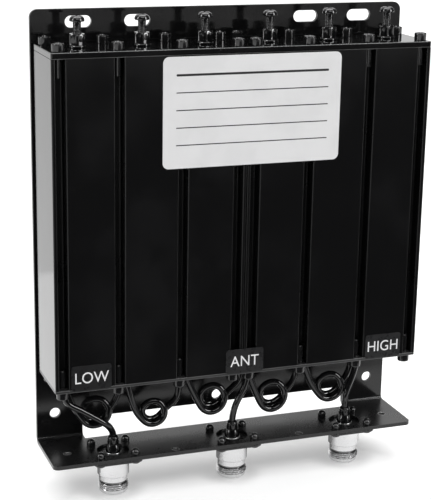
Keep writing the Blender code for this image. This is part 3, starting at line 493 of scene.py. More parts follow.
def jacket(name):
    """Smooth cable jacket with a little dust."""
    look = Look(name, (0.004, 0.004, 0.0044), 0.1, ior=1.5)
    look.uneven(260.0, 0.07, 0.14)
    look.mottle(120.0, 3.0, 0.5, 0.8, 0.6, (0.008, 0.008, 0.009))
    look.bump(look.grain(420.0, 3.0), 0.2, 0.00002)
    look.specks(500.0, 0.06, 0.03, (0.1, 0.1, 0.1))
    return look.made


def film(name, colour, rough, grain_step=0.06):
    """Printed label film with a faint grain and soft waves."""
    look = Look(name, colour, rough, ior=1.45)
    look.uneven(420.0, rough * 0.85, rough * 1.2)
    shade = tuple(value * (1 - grain_step) for value in colour)
    look.mottle(60.0, 4.0, 0.4, 0.7, 1.0, shade)
    look.mottle(3000.0, 2.0, 0.55, 0.8, 0.5, shade)
    look.bump(look.grain(40.0, 2.0), 0.2, 0.00006)
    look.bump(look.grain(2200.0, 2.0), 0.15, 0.000006)
    return look.made


def plain_plastic(name, colour, rough):
    """Moulded plastic with a fine grain."""
    look = Look(name, colour, rough, ior=1.45)
    look.uneven(500.0, rough * 0.85, rough * 1.15)
    look.mottle(200.0, 3.0, 0.4, 0.8, 0.5, tuple(c * 0.8 for c in colour))
    look.bump(look.grain(900.0, 3.0), 0.2, 0.00002)
    return look.made


BLOCK = black_paint("block_black", (0.0055, 0.0055, 0.0058), 0.12, drawn=True)
# Painted shade: this look is darker than the block's coat, for the screw channels and the block's
# rounded edges
CHANNEL = black_paint(
    "channel_painted_shade", (0.003, 0.003, 0.0032), 0.3, ior=1.4, drawn=True, specks=False
)
COVER = black_paint("cover_black", (0.004, 0.004, 0.0042), 0.07, peel=0.2)
# A painted highlight: this look is lighter than the coat beside it and stands in for the light that
# the covers' rounded edges catch
EDGE_HIGHLIGHT = black_paint("edge_painted_highlight", (0.1, 0.1, 0.101), 0.3, peel=0.2, specks=False)
# Painted shade: the bracket's front face, which faces the body, is darker than the rest of the same
# sheet
PLATE = black_paint("plate_painted_shade", (0.004, 0.004, 0.0042), 0.13, peel=0.3)
# Painted sheen: the bottom cover is lighter and rougher than the top cover's black coat
BASE = black_paint("base_painted_sheen", (0.03, 0.03, 0.0305), 0.34, peel=0.4)
SHEET = black_paint("sheet_black", (0.008, 0.008, 0.0083), 0.27, peel=0.8)
SCREW = black_metal("screw_black", (0.008, 0.008, 0.0085), 0.13)
TUNER = black_metal("tuner_black", (0.008, 0.008, 0.0085), 0.09)
NUT = black_metal("nut_black", (0.005, 0.005, 0.0054), 0.07)
NICKEL = nickel_with_painted_root_shade("nickel_plate", (0.72, 0.72, 0.725), 0.22)
RIM = plated("rim_plate", (0.5, 0.5, 0.5), 0.42)
BARE = plated("bare_edge", (0.4, 0.4, 0.4), 0.35)
SILVER = plated("silver_plate", (0.8, 0.79, 0.76), 0.25)
GOLD = plated("gold_plate", (0.85, 0.62, 0.28), 0.22)
COPPER = plated("copper_wire", (0.72, 0.38, 0.24), 0.28)
CABLE = jacket("cable_black")
HOOD = black_paint("hood_black", (0.004, 0.004, 0.0042), 0.09, ior=1.55, peel=0.3, specks=False)
INSULATOR = plain_plastic("insulator_white", (0.82, 0.82, 0.8), 0.45)
SPACER = plain_plastic("spacer_black", (0.015, 0.015, 0.015), 0.55)
LABEL = film("label_white", (0.8, 0.8, 0.805), 0.42, 0.05)
LABEL_INK = film("label_ink", (0.018, 0.018, 0.02), 0.4)
PORT_FILM = film("port_label_black", (0.016, 0.016, 0.017), 0.3)
PORT_INK = film("port_label_ink", (0.86, 0.86, 0.87), 0.45, 0.03)


# Cavity blocks


def channel_points(x, face, inward):
    """A screw channel's walls and floor, from one rounded lip to the other."""
    left, right = x - CHANNEL_WIDTH / 2, x + CHANNEL_WIDTH / 2
    floor_y = face + inward * CHANNEL_DEPTH
    edge, deep = 0.75, 1.0

    def lip(centre, start, end):
        return [(u, face - inward * v) for u, v in arc(centre, -edge, edge, start, end, 4)]

    def corner(centre, start):
        curve = arc(centre, 0, deep, start, start + 90, 4)
        return [(u, floor_y - inward * (deep + v)) for u, v in curve]

    points = lip(left - edge, 90, 0) + corner(left + deep, 180)
    return points + corner(right - deep, 270) + lip(right + edge, 180, 90)


def block_outline(centre, side):
    left = centre - HALF_BLOCK + (SEAM_GAP / 2 if side > 0 else 0)
    right = centre + HALF_BLOCK - (SEAM_GAP / 2 if side < 0 else 0)
    corner = 0.6

    def run(face, inward):
        first = arc(left + corner, -corner, corner, 180, 90, 4)
        last = arc(right - corner, -corner, corner, 90, 0, 4)
        points = [(u, face - inward * v) for u, v in first]
        for x in BLOCK_CHANNELS:
            points += channel_points(centre + x, face, inward)
        return points + [(u, face - inward * v) for u, v in last]

    return run(BODY_FRONT_Y, 1) + run(BODY_BACK_Y, -1)[::-1]


def cavity_outline(x, left_step, right_step):
    """A cavity narrowed by steps at its front and back, to leave room for the channels."""
    left, right = x - CAVITY_WIDTH / 2, x + CAVITY_WIDTH / 2
    front, back = BODY_FRONT_Y + CAVITY_INSET, BODY_BACK_Y - CAVITY_INSET
    inner_left, inner_right = left + left_step, right - right_step
    notch, slope = CAVITY_NOTCH, CAVITY_SLOPE
    half = [(left, notch + slope), (inner_left - slope, notch + slope), (inner_left, notch)]
    half += [(inner_left, 0), (inner_right, 0), (inner_right, notch)]
    half += [(inner_right + slope, notch + slope), (right, notch + slope)]
    return [(u, front + v) for u, v in half] + [(u, back - v) for u, v in half[::-1]]


def cavity_block(name, side):
    centre = side * HALF_BLOCK
    low, high = FLOOR_Z + SEAT_GAP, COVER_UNDER_Z - SEAT_GAP
    bm = bmesh.new()
    prism(bm, block_outline(centre, side), low, high)
    cut = bmesh.new()
    for step in (-1, 0, 1):
        left_step = CAVITY_STEP_END if step < 0 else CAVITY_STEP_INNER
        right_step = CAVITY_STEP_END if step > 0 else CAVITY_STEP_INNER
        outline = cavity_outline(centre + step * CAVITY_PITCH, left_step, right_step)
        prism(cut, outline, low - 5, high + 5)
    bm = cut_mesh(bm, [cut])
    lip = 0.5
    for face in bm.faces:
        middle = face.calc_center_median()
        deep = min(middle.y - BODY_FRONT_Y, BODY_BACK_Y - middle.y)
        across = min(abs(middle.x - centre - x) for x in BLOCK_CHANNELS)
        in_channel = across < CHANNEL_WIDTH / 2 + 0.05 and lip < deep < CHANNEL_DEPTH + 0.2
        # Channels and the rounded edges of the faces take the second look, painted darker as shade
        face.material_index = 1 if in_channel or 0.02 < deep <= lip else 0
    dress(name, bm, [BLOCK, CHANNEL], "block", angle=25.0)


# Covers and screws


def rescale(vert, x, y, share):
    """Moves a point to a share of its distance from an upright axis."""
    vert.co.x = x + (vert.co.x - x) * share
    vert.co.y = y + (vert.co.y - y) * share


def socket_screw(bm, x, y, face, up, reach):
    """A cap screw: rounded knurled head with a hexagon socket, and its shank."""
    steps = 48
    radius, shank = SCREW_HEAD_RADIUS, SCREW_SHANK_RADIUS
    top = face + up * SCREW_HEAD_HIGH
    key = SCREW_KEY_FLATS / math.sqrt(3)
    key_floor, tip = top - up * SCREW_KEY_DEEP, face - up * (reach + 0.4)
    profile = [(0, key_floor), (key, key_floor), (key, top - up * 0.25), (key + 0.22, top)]
    profile += [(radius - 0.55, top), (radius - 0.25, top - up * 0.1)]
    profile += [(radius - 0.05, top - up * 0.35), (radius, top - up * 0.6)]
    profile += [(radius, face + up * 0.35), (radius - 0.15, face), (shank, face)]
    profile += [(shank, face - up * reach), (1.4, tip), (0, tip)]
    rings = turned(bm, profile, x, y, steps)
    for ring in rings[1:3]:
        for index, vert in enumerate(ring):
            turn = math.radians((index * 360 / steps) % 60 - 30)
            rescale(vert, x, y, math.cos(math.radians(30)) / math.cos(turn))
    for ring in rings[7:9]:
        for vert in ring[::2]:
            rescale(vert, x, y, 0.996)


def cover(name, low, high, up, holes):
    outline = rounded_rectangle(0, BODY_MID_Y, BODY_WIDTH, BODY_DEPTH, COVER_CORNER, 4)
    bm = bmesh.new()
    prism(bm, outline, low, high)
    cut = bmesh.new()
    for hole in holes:
        prism(cut, hole, low - 3, high + 3)
    # The bottom cover takes the lighter look, a painted sheen
    looks = [COVER if up > 0 else BASE, EDGE_HIGHLIGHT]
    bm = cut_mesh(bm, [cut])
    plate = add_piece(name + "_plate", bm, looks, replaces=[name], slot="cover")
    # The covers' rounded edges take the painted highlight look in slot 1
    soften(plate, 0.3, 3, slot=1)
    face = high if up > 0 else low
    bm = bmesh.new()
    for y in SCREW_YS:
        for x in CHANNEL_XS:
            socket_screw(bm, x, y, face, up, high - low + SCREW_REACH)
    add_piece(name + "_screws", bm, [SCREW], slot="screw")


def cable_ports():
    """Slots in the bottom cover, where the cables come out."""
    ports = []
    for index, x in enumerate(ENTRY_XS):
        rows = [LEAD_OUT_Y]
        if index > 0:
            rows.append(LEAD_IN_Y)
        if index in (0, 3):
            rows.append(FEED_ROW_Y)
        low, high = min(rows), max(rows)
        length = high - low + CABLE_PORT_WIDTH
        outline = obround((low + high) / 2, x, length, CABLE_PORT_WIDTH, 10)
        ports.append([(v, u) for u, v in outline])
    return ports


# Tuning screws and lock nuts


def threaded_rod(bm, x, y, low, high, radius, pitch, deep, steps):
    """A rod with a real helical thread, built as a grid round its axis."""
    count = int((high - low) / (pitch / 6))
    rings = []
    for k in range(count + 1):
        z = low + (high - low) * k / count
        ends = min(1.0, (z - low) / pitch, (high - z) / pitch)
        ring = []
        for i in range(steps):
            turn = 2 * math.pi * i / steps
            phase = ((z - low) / pitch - i / steps) % 1.0
            wave = abs(phase - 0.5) * 2
            out = radius - deep * (1 - wave) * max(0.0, ends) - deep * 0.2 * (1 - ends)
            ring.append(bm.verts.new((x + out * math.cos(turn), y + out * math.sin(turn), z)))
        rings.append(ring)
    faces = skin(bm, rings)
    faces.append(bm.faces.new(rings[0][::-1]))
    faces.append(bm.faces.new(rings[-1]))
    bmesh.ops.recalc_face_normals(bm, faces=faces)


def tuning_screw(index, x):
    z = BODY_TOP_Z + TUNER_ABOVE_COVER + TUNER_SET_HIGHER[index - 1]
    thread = (TUNER_RADIUS, TUNER_THREAD_PITCH, TUNER_THREAD_DEEP)
    bm = bmesh.new()
    threaded_rod(bm, x, BODY_MID_Y, z - TUNER_LENGTH, z - 0.2, *thread, 28)
    radius = TUNER_HEAD_RADIUS
    profile = [(0, z - 0.25), (2.0, z - 0.25), (2.3, z), (radius - 0.25, z)]
    profile += [(radius - 0.05, z + 0.12), (radius, z + 0.35)]
    for step in range(1, 9):
        turn = math.radians(11 * step)
        profile.append((radius * math.cos(turn) ** 0.6, z + 0.6 + 2.2 * math.sin(turn)))
    profile.append((0, z + TUNER_HEAD_HIGH))
    head = bmesh.new()
    turned(head, profile, x, BODY_MID_Y, 40)
    recess = cross_cuts(x, BODY_MID_Y, 0.45, 1.6, z + 1.8, z + 4.0, 28 + 37 * index)
    absorb(bm, cut_mesh(head, recess))
    dress(f"tuning_screw_{index}", bm, [TUNER], "tuner", body=f"tuner_{index}", angle=40)


def lock_nut(index, x):
    low = BODY_TOP_Z + SEAT_GAP
    bore, rim, top = WASHER_BORE_RADIUS, WASHER_RADIUS, low + WASHER_HIGH
    washer = [(bore, low), (rim - 0.2, low), (rim, low + 0.15), (rim, top - 0.2)]
    washer += [(rim - 0.2, top), (bore, top), (bore, low)]
    bm = bmesh.new()
    turned(bm, washer, x, BODY_MID_Y, 40)
    high = top + NUT_HIGH
    corner, flat = NUT_FLATS / math.sqrt(3), NUT_FLATS / 2
    steps = 48
    rings = []
    for radius, z, hexed in (
        (NUT_BORE_RADIUS, top, False),
        (flat - 0.1, top, False),
        (corner, top + 0.45, True),
        (corner, high - 0.6, True),
        (flat - 0.1, high, False),
        (NUT_BORE_RADIUS + 0.3, high, False),
        (NUT_BORE_RADIUS, high - 0.35, False),
    ):
        ring = []
        for i in range(steps):
            turn = 360 * i / steps
            out = radius
            if hexed:
                out = min(flat / math.cos(math.radians(turn % 60 - 30)), radius - 0.12)
            angle = math.radians(turn + 15)
            place = (x + out * math.cos(angle), BODY_MID_Y + out * math.sin(angle), z)
            ring.append(bm.verts.new(place))
        rings.append(ring)
    rings.append(rings[0])
    bmesh.ops.recalc_face_normals(bm, faces=skin(bm, rings))
    dress(f"lock_nut_{index}", bm, [NUT], "nut", angle=25)


# Cables


def smooth_path(knots, spacing):
    """Evenly spaced points on a smooth curve through the knots."""
    knots = np.array(knots, float)
    padded = np.vstack([2 * knots[0] - knots[1], knots, 2 * knots[-1] - knots[-2]])
    fine = []
    for i in range(1, len(padded) - 2):
        p0, p1, p2, p3 = padded[i - 1 : i + 3]
        for t in np.linspace(0, 1, 24, endpoint=False):
            square = (2 * p0 - 5 * p1 + 4 * p2 - p3) * t**2
            cube = (3 * p1 - 3 * p2 + p3 - p0) * t**3
            fine.append(0.5 * (2 * p1 + (p2 - p0) * t + square + cube))
    fine.append(knots[-1])
    fine = np.array(fine)
    steps = np.linalg.norm(np.diff(fine, axis=0), axis=1)
    along = np.concatenate([[0], np.cumsum(steps)])
    count = max(2, round(along[-1] / spacing))
    wanted = np.linspace(0, along[-1], count + 1)
    return np.stack([np.interp(wanted, along, fine[:, k]) for k in range(3)], axis=1)


def cable(node, knots):
    """A cable along its knots, in place of a node."""
    points = smooth_path(knots, 0.8)
    for _ in range(6):
        points[1:-1] = points[1:-1] * 0.5 + (points[:-2] + points[2:]) * 0.25
    curve = bpy.data.curves.new(node + "_look", "CURVE")
    curve.dimensions = "3D"
    curve.bevel_depth = COAX_DIAMETER / 2 * MM
    curve.bevel_resolution = 6
    curve.use_fill_caps = True
    spline = curve.splines.new("POLY")
    spline.points.add(len(points) - 1)
    for point, place in zip(spline.points, points):
        point.co = (*(place * MM), 1.0)
    spline.use_smooth = True
    curve.materials.append(CABLE)
    obj = linked(node + "_look", curve)
    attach(obj, ROOT)
    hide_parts(node)


def link_knots(index):
    """A link's route: down in front, once round its loop, and up again behind."""
    start = ENTRY_XS[index] + LEAD_LEAN
    end = ENTRY_XS[index + 1] - LEAD_LEAN
    radius, drop = RING_RADIUS[index], LEAD_SAG[index]
    z = BODY_BOTTOM_Z - RING_BELOW_BODY[index]
    x = (start + end) / 2 + RING_SHIFT[index]
    front, back = LEAD_OUT_Y, LEAD_IN_Y
    inside = FLOOR_Z + COAX_ABOVE_FLOOR

    def ring(turn, share, size=1.0):
        angle = math.radians(turn)
        place = front + (back - front) * share
        return (x + radius * size * math.sin(angle), place, z - radius * size * math.cos(angle))

    return [
        (start, front, inside),
        (start, front, FLOOR_Z - 1.0),
        (start + 1.0, front, BODY_BOTTOM_Z - 4.3),
        (start + 5.0, front, z + radius * 0.55),
        (x - radius * 1.02, front, z - radius * 0.62 - drop * 0.4),
        (x - radius * 0.52, front, z - radius * 0.96 - drop * 0.85),
        (x, front, z - radius - drop),
        (x + radius * 0.62, front + 0.1, z - radius * 0.86 - drop * 0.6),
        (x + radius * 1.02, front + 0.2, z - radius * 0.36),
        ring(90 + 12, 0.1),
        ring(140, 0.2),
        ring(180, 0.34),
        ring(225, 0.52),
        ring(270, 0.72),
        ring(315, 0.9),
        ring(360, 1.0),
        ring(404, 1.0, 1.02),
        (x + radius * 1.3, back + 0.05, z - radius * 0.1),
        (end - 2.2, back, z + radius * 0.9),
        (end - 0.3, back, BODY_BOTTOM_Z - 4.0),
        (end, back, FLOOR_Z - 1.0),
        (end, back, inside),
    ]


FEED_ENTRIES = {
    "low": (ENTRY_XS[0], FEED_ROW_Y),
    "antenna": (ENTRY_XS[3], FEED_ROW_Y),
    "high": (ENTRY_XS[5], LEAD_OUT_Y),
}
FEED_BENDS = {
    "low": [(0.024, 0.711, 0), (0.378, 0.504, 0), (0.795, 0.268, 0), (0.937, 0.146, 0.58)],
    "antenna": [(0.013, 0.852, 0), (0.316, 0.592, 0), (0.75, 0.366, 0.25), (0.934, 0.196, 0.67)],
    "high": [(0.015, 0.852, 0), (0.09, 0.695, 0.12), (0.41, 0.507, 0.44)]
    + [(0.82, 0.319, 0.88), (0.97, 0.177, 1.0)],
}


def feed_knots(port):
    """The feed's route. Each bend is a share of the way across, up from the hood, and to its row."""
    entry_x, row_y = FEED_ENTRIES[port]
    x = PORTS[port]
    knots = [(entry_x, row_y, FLOOR_Z + COAX_ABOVE_FLOOR), (entry_x, row_y, FLOOR_Z - 1.0)]
    for across, up, forward in FEED_BENDS[port]:
        bend_x = entry_x + (x - entry_x) * across
        bend_y = row_y + (PORT_Y - row_y) * forward
        knots.append((bend_x, bend_y, HOOD_TOP_Z + (BODY_BOTTOM_Z - HOOD_TOP_Z) * up))
    ends = (HOOD_TOP_Z + 1.0, HOOD_TOP_Z - 2.0, PLUG_TOP_Z + 2.9)
    return knots + [(x, PORT_Y, z) for z in ends]


# Bracket


def corner_waste(cx, cy, sx, sy, radius):
    """The outline of what a rounded corner leaves off, with some room outside."""
    past = 2.0
    start = 0 if sx > 0 else 180
    end = 90 if sy > 0 else (-90 if sx > 0 else 270)
    curve = arc(cx - sx * radius, cy - sy * radius, radius, start, end, 12)
    out_x, out_y = cx + sx * past, cy + sy * past
    return curve + [(curve[-1][0], out_y), (out_x, out_y), (out_x, curve[0][1])]


def flange_places(x):
    out = FLANGE_HOLE_OUT
    return [(x + sx * out, PORT_Y + sy * out) for sx in (-1, 1) for sy in (-1, 1)]


def countersink(x, z):
    """The cut for a sunk bracket screw, whose cone opens at the back."""
    made = bmesh.new()
    turned(made, [(0, 0), (2.2, 0), (2.2, 1.3), (4.0, 3.1), (4.0, 4.2), (0, 4.2)], 0, 0, 32)
    lie = Matrix.Rotation(math.radians(-90), 4, "X")
    place = Matrix.Translation((x, BRACKET_FACE_Y - 1.2, z))
    bmesh.ops.transform(made, matrix=place @ lie, verts=made.verts)
    return made


def bent_sheet():
    cy, cz = BRACKET_FACE_Y - BEND_RADIUS, SHELF_TOP_Z + BEND_RADIUS
    section = [(SHELF_FRONT_Y, SHELF_TOP_Z)] + arc(cy, cz, BEND_RADIUS, -90, 0, 10)
    section += [(BRACKET_FACE_Y, BRACKET_TOP_Z), (BRACKET_BACK_Y, BRACKET_TOP_Z)]
    section += arc(cy, cz, BEND_RADIUS + SHEET_THICK, -90, 0, 10)[::-1]
    section.append((SHELF_FRONT_Y, SHELF_UNDER_Z))
    bm = bmesh.new()
    prism(bm, section, -BRACKET_WIDTH / 2, BRACKET_WIDTH / 2, "x")
    return bm


def plate_cuts():
    cut = bmesh.new()
    y0, y1 = BRACKET_FACE_Y - 1, BRACKET_BACK_Y + 1
    for x in SLOT_XS:
        prism(cut, obround(x, SLOT_Z, SLOT_LENGTH, SLOT_HIGH, 14), y0, y1, "y")
    for x in HOLE_XS:
        prism(cut, circle(x, HOLE_Z, HOLE_RADIUS, 32), y0, y1, "y")
    for sx in (-1, 1):
        corner = corner_waste(sx * BRACKET_WIDTH / 2, BRACKET_TOP_Z, sx, 1, PLATE_CORNER)
        prism(cut, corner, y0, y1, "y")
    for x in SUNK_SCREW_XS:
        for z in SUNK_SCREW_ZS:
            absorb(cut, countersink(x, z))
    return cut


def window_cut():
    cut = bmesh.new()
    low, high = SHELF_TOP_Z - 8, WINDOW_TOP_Z
    outline = rounded_rectangle(0, (high + low) / 2, WINDOW_WIDTH, high - low, WINDOW_CORNER, 6)
    prism(cut, outline, WINDOW_FRONT_Y, BRACKET_BACK_Y + 3, "y")
    return cut


def shelf_cuts():
    cut = bmesh.new()
    z0, z1 = SHELF_UNDER_Z - 1, SHELF_TOP_Z + 1
    for sx in (-1, 1):
        corner = corner_waste(sx * BRACKET_WIDTH / 2, SHELF_FRONT_Y, sx, -1, SHELF_CORNER)
        prism(cut, corner, z0, z1)
    for x, y in SHELF_HOLES:
        prism(cut, circle(x, y, SHELF_HOLE_RADIUS, 28), z0, z1)
    for x in PORTS.values():
        prism(cut, circle(x, PORT_Y, PORT_HOLE_RADIUS, 56), z0, z1)
        for px, py in flange_places(x):
            prism(cut, circle(px, py, FLANGE_HOLE_RADIUS, 20), z0, z1)
    return cut


def bracket():
    bm = cut_mesh(bent_sheet(), [plate_cuts(), window_cut(), shelf_cuts()])
    # The front face behind the body takes the darker look, painted shade
    for face in bm.faces:
        on_front = face.normal.y < -0.9 and face.calc_center_median().y > 10
        face.material_index = 1 if on_front else 0
    obj = dress("mounting_bracket", bm, [SHEET, PLATE], "bracket")
    soften(obj, 0.22, 2, 35)


def shelf_hole_rims():
    top = SHELF_TOP_Z
    profile = [(1.8, top - 0.3), (1.8, top - 0.02), (1.9, top + 0.04), (2.1, top + 0.04)]
    profile += [(2.2, top), (2.1, top - 0.3), (1.8, top - 0.3)]
    rims = bmesh.new()
    for x, y in SHELF_HOLES:
        turned(rims, profile, x, y, 32)
    add_piece("shelf_hole_rims", rims, [BARE], slot="shell", angle=40)


# Connectors


def thread_radius(z, turn_share):
    """Radius of the shell's outside at a height, with a helical thread near the mouth."""
    phase = ((z - THREAD_LOW_Z) / THREAD_PITCH - turn_share) % 1.0
    wave = min(1.0, max(0.0, (abs(phase - 0.5) * 2 - 0.14) * 1.4))
    return THREAD_RADIUS - THREAD_DEEP * (1 - wave)


def connector_shell(port, x):
    root, low = THREAD_ROOT_RADIUS, FLANGE_LOW_Z
    lower = [(4.6, 9.0), (4.6, 0.35), (4.75, 0.12), (5.0, 0.0), (6.7, 0.0), (6.95, 0.1)]
    lower += [(7.3, 0.5), (root, 0.8), (root, 2.0)]
    upper = [(7.4, 5.4), (6.7, 5.5), (6.7, 6.3), (6.85, 6.45), (7.2, 6.5), (7.3, 6.6), (7.3, 9.1)]
    upper += [(7.4, 9.3), (8.0, 9.6), (8.15, 9.8), (8.15, low + 0.4), (7.3, low + 0.4)]
    upper += [(7.3, PLUG_TOP_Z - 0.2), (7.1, PLUG_TOP_Z), (1.5, PLUG_TOP_Z), (1.5, 9.0), (4.6, 9.0)]
    steps, levels = 72, 32
    turns = [2 * math.pi * i / steps for i in range(steps)]
    bm = bmesh.new()

    def ring_at(z, radii):
        places = [(x + r * math.cos(t), PORT_Y + r * math.sin(t), z) for r, t in zip(radii, turns)]
        return [bm.verts.new(place) for place in places]

    rings = [ring_at(z, [radius] * steps) for radius, z in lower]
    for k in range(levels + 1):
        z = THREAD_LOW_Z + THREAD_HIGH * k / levels
        ends = min(1.0, k / 3, (levels - k) / 3)
        radii = [root + (thread_radius(z, i / steps) - root) * ends for i in range(steps)]
        rings.append(ring_at(z, radii))
    rings += [ring_at(z, [radius] * steps) for radius, z in upper]
    skin(bm, rings)
    bmesh.ops.remove_doubles(bm, verts=bm.verts, dist=1e-5)
    bmesh.ops.recalc_face_normals(bm, faces=bm.faces)
    for face in bm.faces:
        face.material_index = 1 if face.calc_center_median().z > low + 0.1 else 0
    dress(f"connector_shell_{port}", bm, [NICKEL, SHEET], "shell", angle=28)


def connector_flange(port, x):
    low, high = FLANGE_LOW_Z, FLANGE_TOP_Z
    plate = bmesh.new()
    outline = rounded_rectangle(x, PORT_Y, FLANGE_SIDE, FLANGE_SIDE, FLANGE_CORNER, 8)
    prism(plate, outline, low, high)
    cut = bmesh.new()
    prism(cut, circle(x, PORT_Y, 7.6, 48), low - 1, high + 1)
    flange = add_piece(f"connector_flange_{port}", cut_mesh(plate, [cut]), [SHEET], slot="hood")
    soften(flange, 0.3, 3)


def connector_fixings(port, x):
    """Flange screws: a domed head under the flange and a domed nut on the shelf."""
    low, base = FLANGE_LOW_Z, SHELF_TOP_Z + SEAT_GAP
    profile = [(0, low - 1.6)]
    for step in range(1, 7):
        turn = math.radians(15 * step)
        profile.append((2.7 * math.sin(turn), low - 0.3 - 1.3 * math.cos(turn)))
    profile += [(2.7, low), (1.25, low + 0.2), (1.25, base), (2.05, base)]
    profile += [(2.15, base + 0.15), (2.15, base + 1.3)]
    for step in range(1, 8):
        turn = math.radians(90 / 8 * step)
        profile.append((2.15 * math.cos(turn), base + 1.3 + 2.0 * math.sin(turn)))
    profile.append((0, base + 3.3))
    fixings = bmesh.new()
    for px, py in flange_places(x):
        turned(fixings, profile, px, py, 28)
    add_piece(f"connector_fixings_{port}", fixings, [SCREW], slot="screw", angle=40)


def connector_inside(port, x):
    profile = [(1.7, 6.75), (4.4, 6.75), (4.5, 6.85), (4.5, 8.95), (1.7, 8.95), (1.7, 6.75)]
    bm = bmesh.new()
    turned(bm, profile, x, PORT_Y, 48)
    dress(f"connector_insulator_{port}", bm, [INSULATOR], "insulator")
    tip = PLUG_TOP_Z + 1.7
    profile = [(0, 7.9), (0.85, 7.9), (0.85, 4.9), (1.0, 4.7), (1.35, 4.7), (1.6, 5.0)]
    profile += [(1.6, 8.8), (1.1, 8.8), (1.1, tip), (0, tip)]
    bm = bmesh.new()
    turned(bm, profile, x, PORT_Y, 32)
    bm = cut_mesh(bm, cross_cuts(x, PORT_Y, 3.0, 0.2, 3.7, 7.0, 0))
    dress(f"connector_contact_{port}", bm, [GOLD], "contact")


def connector_hood(port, x):
    z = HOOD_LOW_Z
    profile = [(2.1, z + 9.3), (2.1, z + 2.0), (1.6, z + 1.0), (1.6, z), (4.0, z)]
    profile += [(4.3, z + 0.15), (4.3, z + 0.6), (4.15, z + 0.9), (3.95, z + 1.0)]
    profile += [(3.85, z + 1.6), (3.6, z + 2.6), (3.25, z + 3.8), (3.0, z + 4.6), (2.8, z + 5.1)]
    profile += [(2.8, z + 5.3), (3.0, z + 5.5), (3.0, z + 6.7), (2.82, z + 6.85)]
    profile += [(2.8, z + 8.2), (2.7, z + 8.8), (2.4, z + 9.2), (2.1, z + 9.3)]
    slots = []
    for (radius_a, z_a), (radius_b, z_b) in zip(profile, profile[1:]):
        on_rim = z <= (z_a + z_b) / 2 < z + 1.0 and min(radius_a, radius_b) > 3.9
        slots.append(1 if on_rim else 0)
    bm = bmesh.new()
    turned(bm, profile, x, PORT_Y, 48, slots)
    dress(f"connector_hood_{port}", bm, [HOOD, RIM], "hood", angle=35)


# Labels


def plate_label(node, outline, look, slot):
    bm = bmesh.new()
    prism(bm, outline, LABEL_FACE_Y, LABEL_FACE_Y + LABEL_THICK, "y")
    dress(node, bm, [look], slot, soft=False)


def main_label():
    """The white label, with plain ruled lines where the photographed one has print."""
    x, z = MAIN_LABEL_X, MAIN_LABEL_Z
    plate_label("main_label", rounded_rectangle(x, z, *MAIN_LABEL_SIZE, 10), LABEL, "label")
    bm = bmesh.new()
    for up, high in ((18.2, 1.1), (9.8, 0.5), (1.3, 0.5), (-7.2, 0.5), (-15.7, 0.5)):
        bar = rounded_rectangle(x, z + up, 79.0, high, high * 0.3, 2)
        prism(bm, bar, LABEL_FACE_Y - 0.012, LABEL_FACE_Y + 0.01, "y")
    add_piece("main_label_print", bm, [LABEL_INK], slot="port_label", soft=False)


def port_word(port, x, word):
    curve = bpy.data.curves.new(f"port_word_{port}", "FONT")
    curve.body = word
    curve.size = 8.1 * MM
    curve.align_x = "CENTER"
    curve.align_y = "CENTER"
    curve.extrude = 0.006 * MM
    curve.space_character = 1.02
    obj = linked(f"port_word_{port}", curve)
    obj.rotation_euler = (math.radians(90), 0, 0)
    obj.scale = (0.92, 1.0, 1.0)
    obj.location = Vector((x, LABEL_FACE_Y - 0.005, PORT_LABEL_Z - 0.4)) * MM
    bpy.context.view_layer.update()
    graph = bpy.context.evaluated_depsgraph_get()
    mesh = bpy.data.meshes.new_from_object(obj.evaluated_get(graph))
    mesh.transform(obj.matrix_world)
    bpy.data.objects.remove(obj, do_unlink=True)
    made = linked(f"port_word_{port}_print", mesh)
    mesh.materials.clear()
    mesh.materials.append(PORT_INK)
    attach(made, ROOT)


def port_labels():
    for port, (x, word) in PORT_WORDS.items():
        outline = rounded_rectangle(x, PORT_LABEL_Z, *PORT_LABEL_SIZE, 10)
        plate_label(f"port_label_{port}", outline, PORT_FILM, "port_label")
        port_word(port, x, word)


# Stage


def area_light(name, place, target, size, radiance):
    light = bpy.data.lights.new(name, "AREA")
    light.shape = "RECTANGLE"
    light.size, light.size_y = size
    light.energy = radiance * math.pi * size[0] * size[1]
    obj = linked(name, light)
    obj.location = place
    obj.rotation_mode = "QUATERNION"
    obj.rotation_quaternion = (Vector(target) - Vector(place)).to_track_quat("-Z", "Y")
    obj.visible_camera = False


def stage_plane(name, corners, look):
    mesh = bpy.data.meshes.new(name)
    mesh.from_pydata(corners, [], [(0, 1, 2, 3)])
    mesh.materials.append(look)
    obj = linked(name, mesh)
    return obj


def seen_ray(tree):
    """1 for a ray from the camera or off a glossy or clear surface, else 0."""
    path = tree.nodes.new("ShaderNodeLightPath")
    first = tree.nodes.new("ShaderNodeMath")
    second = tree.nodes.new("ShaderNodeMath")
    first.operation = second.operation = "MAXIMUM"
    tree.links.new(path.outputs["Is Camera Ray"], first.inputs[0])
    tree.links.new(path.outputs["Is Glossy Ray"], first.inputs[1])
    tree.links.new(first.outputs[0], second.inputs[0])
    tree.links.new(path.outputs["Is Transmission Ray"], second.inputs[1])
    return second.outputs[0]


def card(name, corners, shade):
    """A card that only mirror images show: a dark or a bright part of the studio, or a dark sheet as
    a painted shadow.
    """
    look = Look(name, (0.0, 0.0, 0.0), 0.9)
    look.set("Specular IOR Level", 0.0)
    look.set("Emission Color", (1.0, 1.0, 1.0, 1.0))
    look.set("Emission Strength", shade)
    obj = stage_plane(name, corners, look.made)
    obj.visible_camera = False
    obj.visible_diffuse = False
    obj.visible_shadow = False


def level(x0, x1, y0, y1, z):
    """Corners of a level rectangle."""
    return [(x0, y0, z), (x1, y0, z), (x1, y1, z), (x0, y1, z)]


def facing_card(name, place, target, size, shade):
    """A card round a place, turned towards a target."""
    place, target = Vector(place), Vector(target)
    ahead = (target - place).normalized()
    across = ahead.cross(Vector((0, 0, 1))).normalized() * size[0] / 2
    above = across.cross(ahead).normalized() * size[1] / 2
    low, high = place - above, place + above
    corners = (low - across, low + across, high + across, high - across)
    card(name, [tuple(corner) for corner in corners], shade)


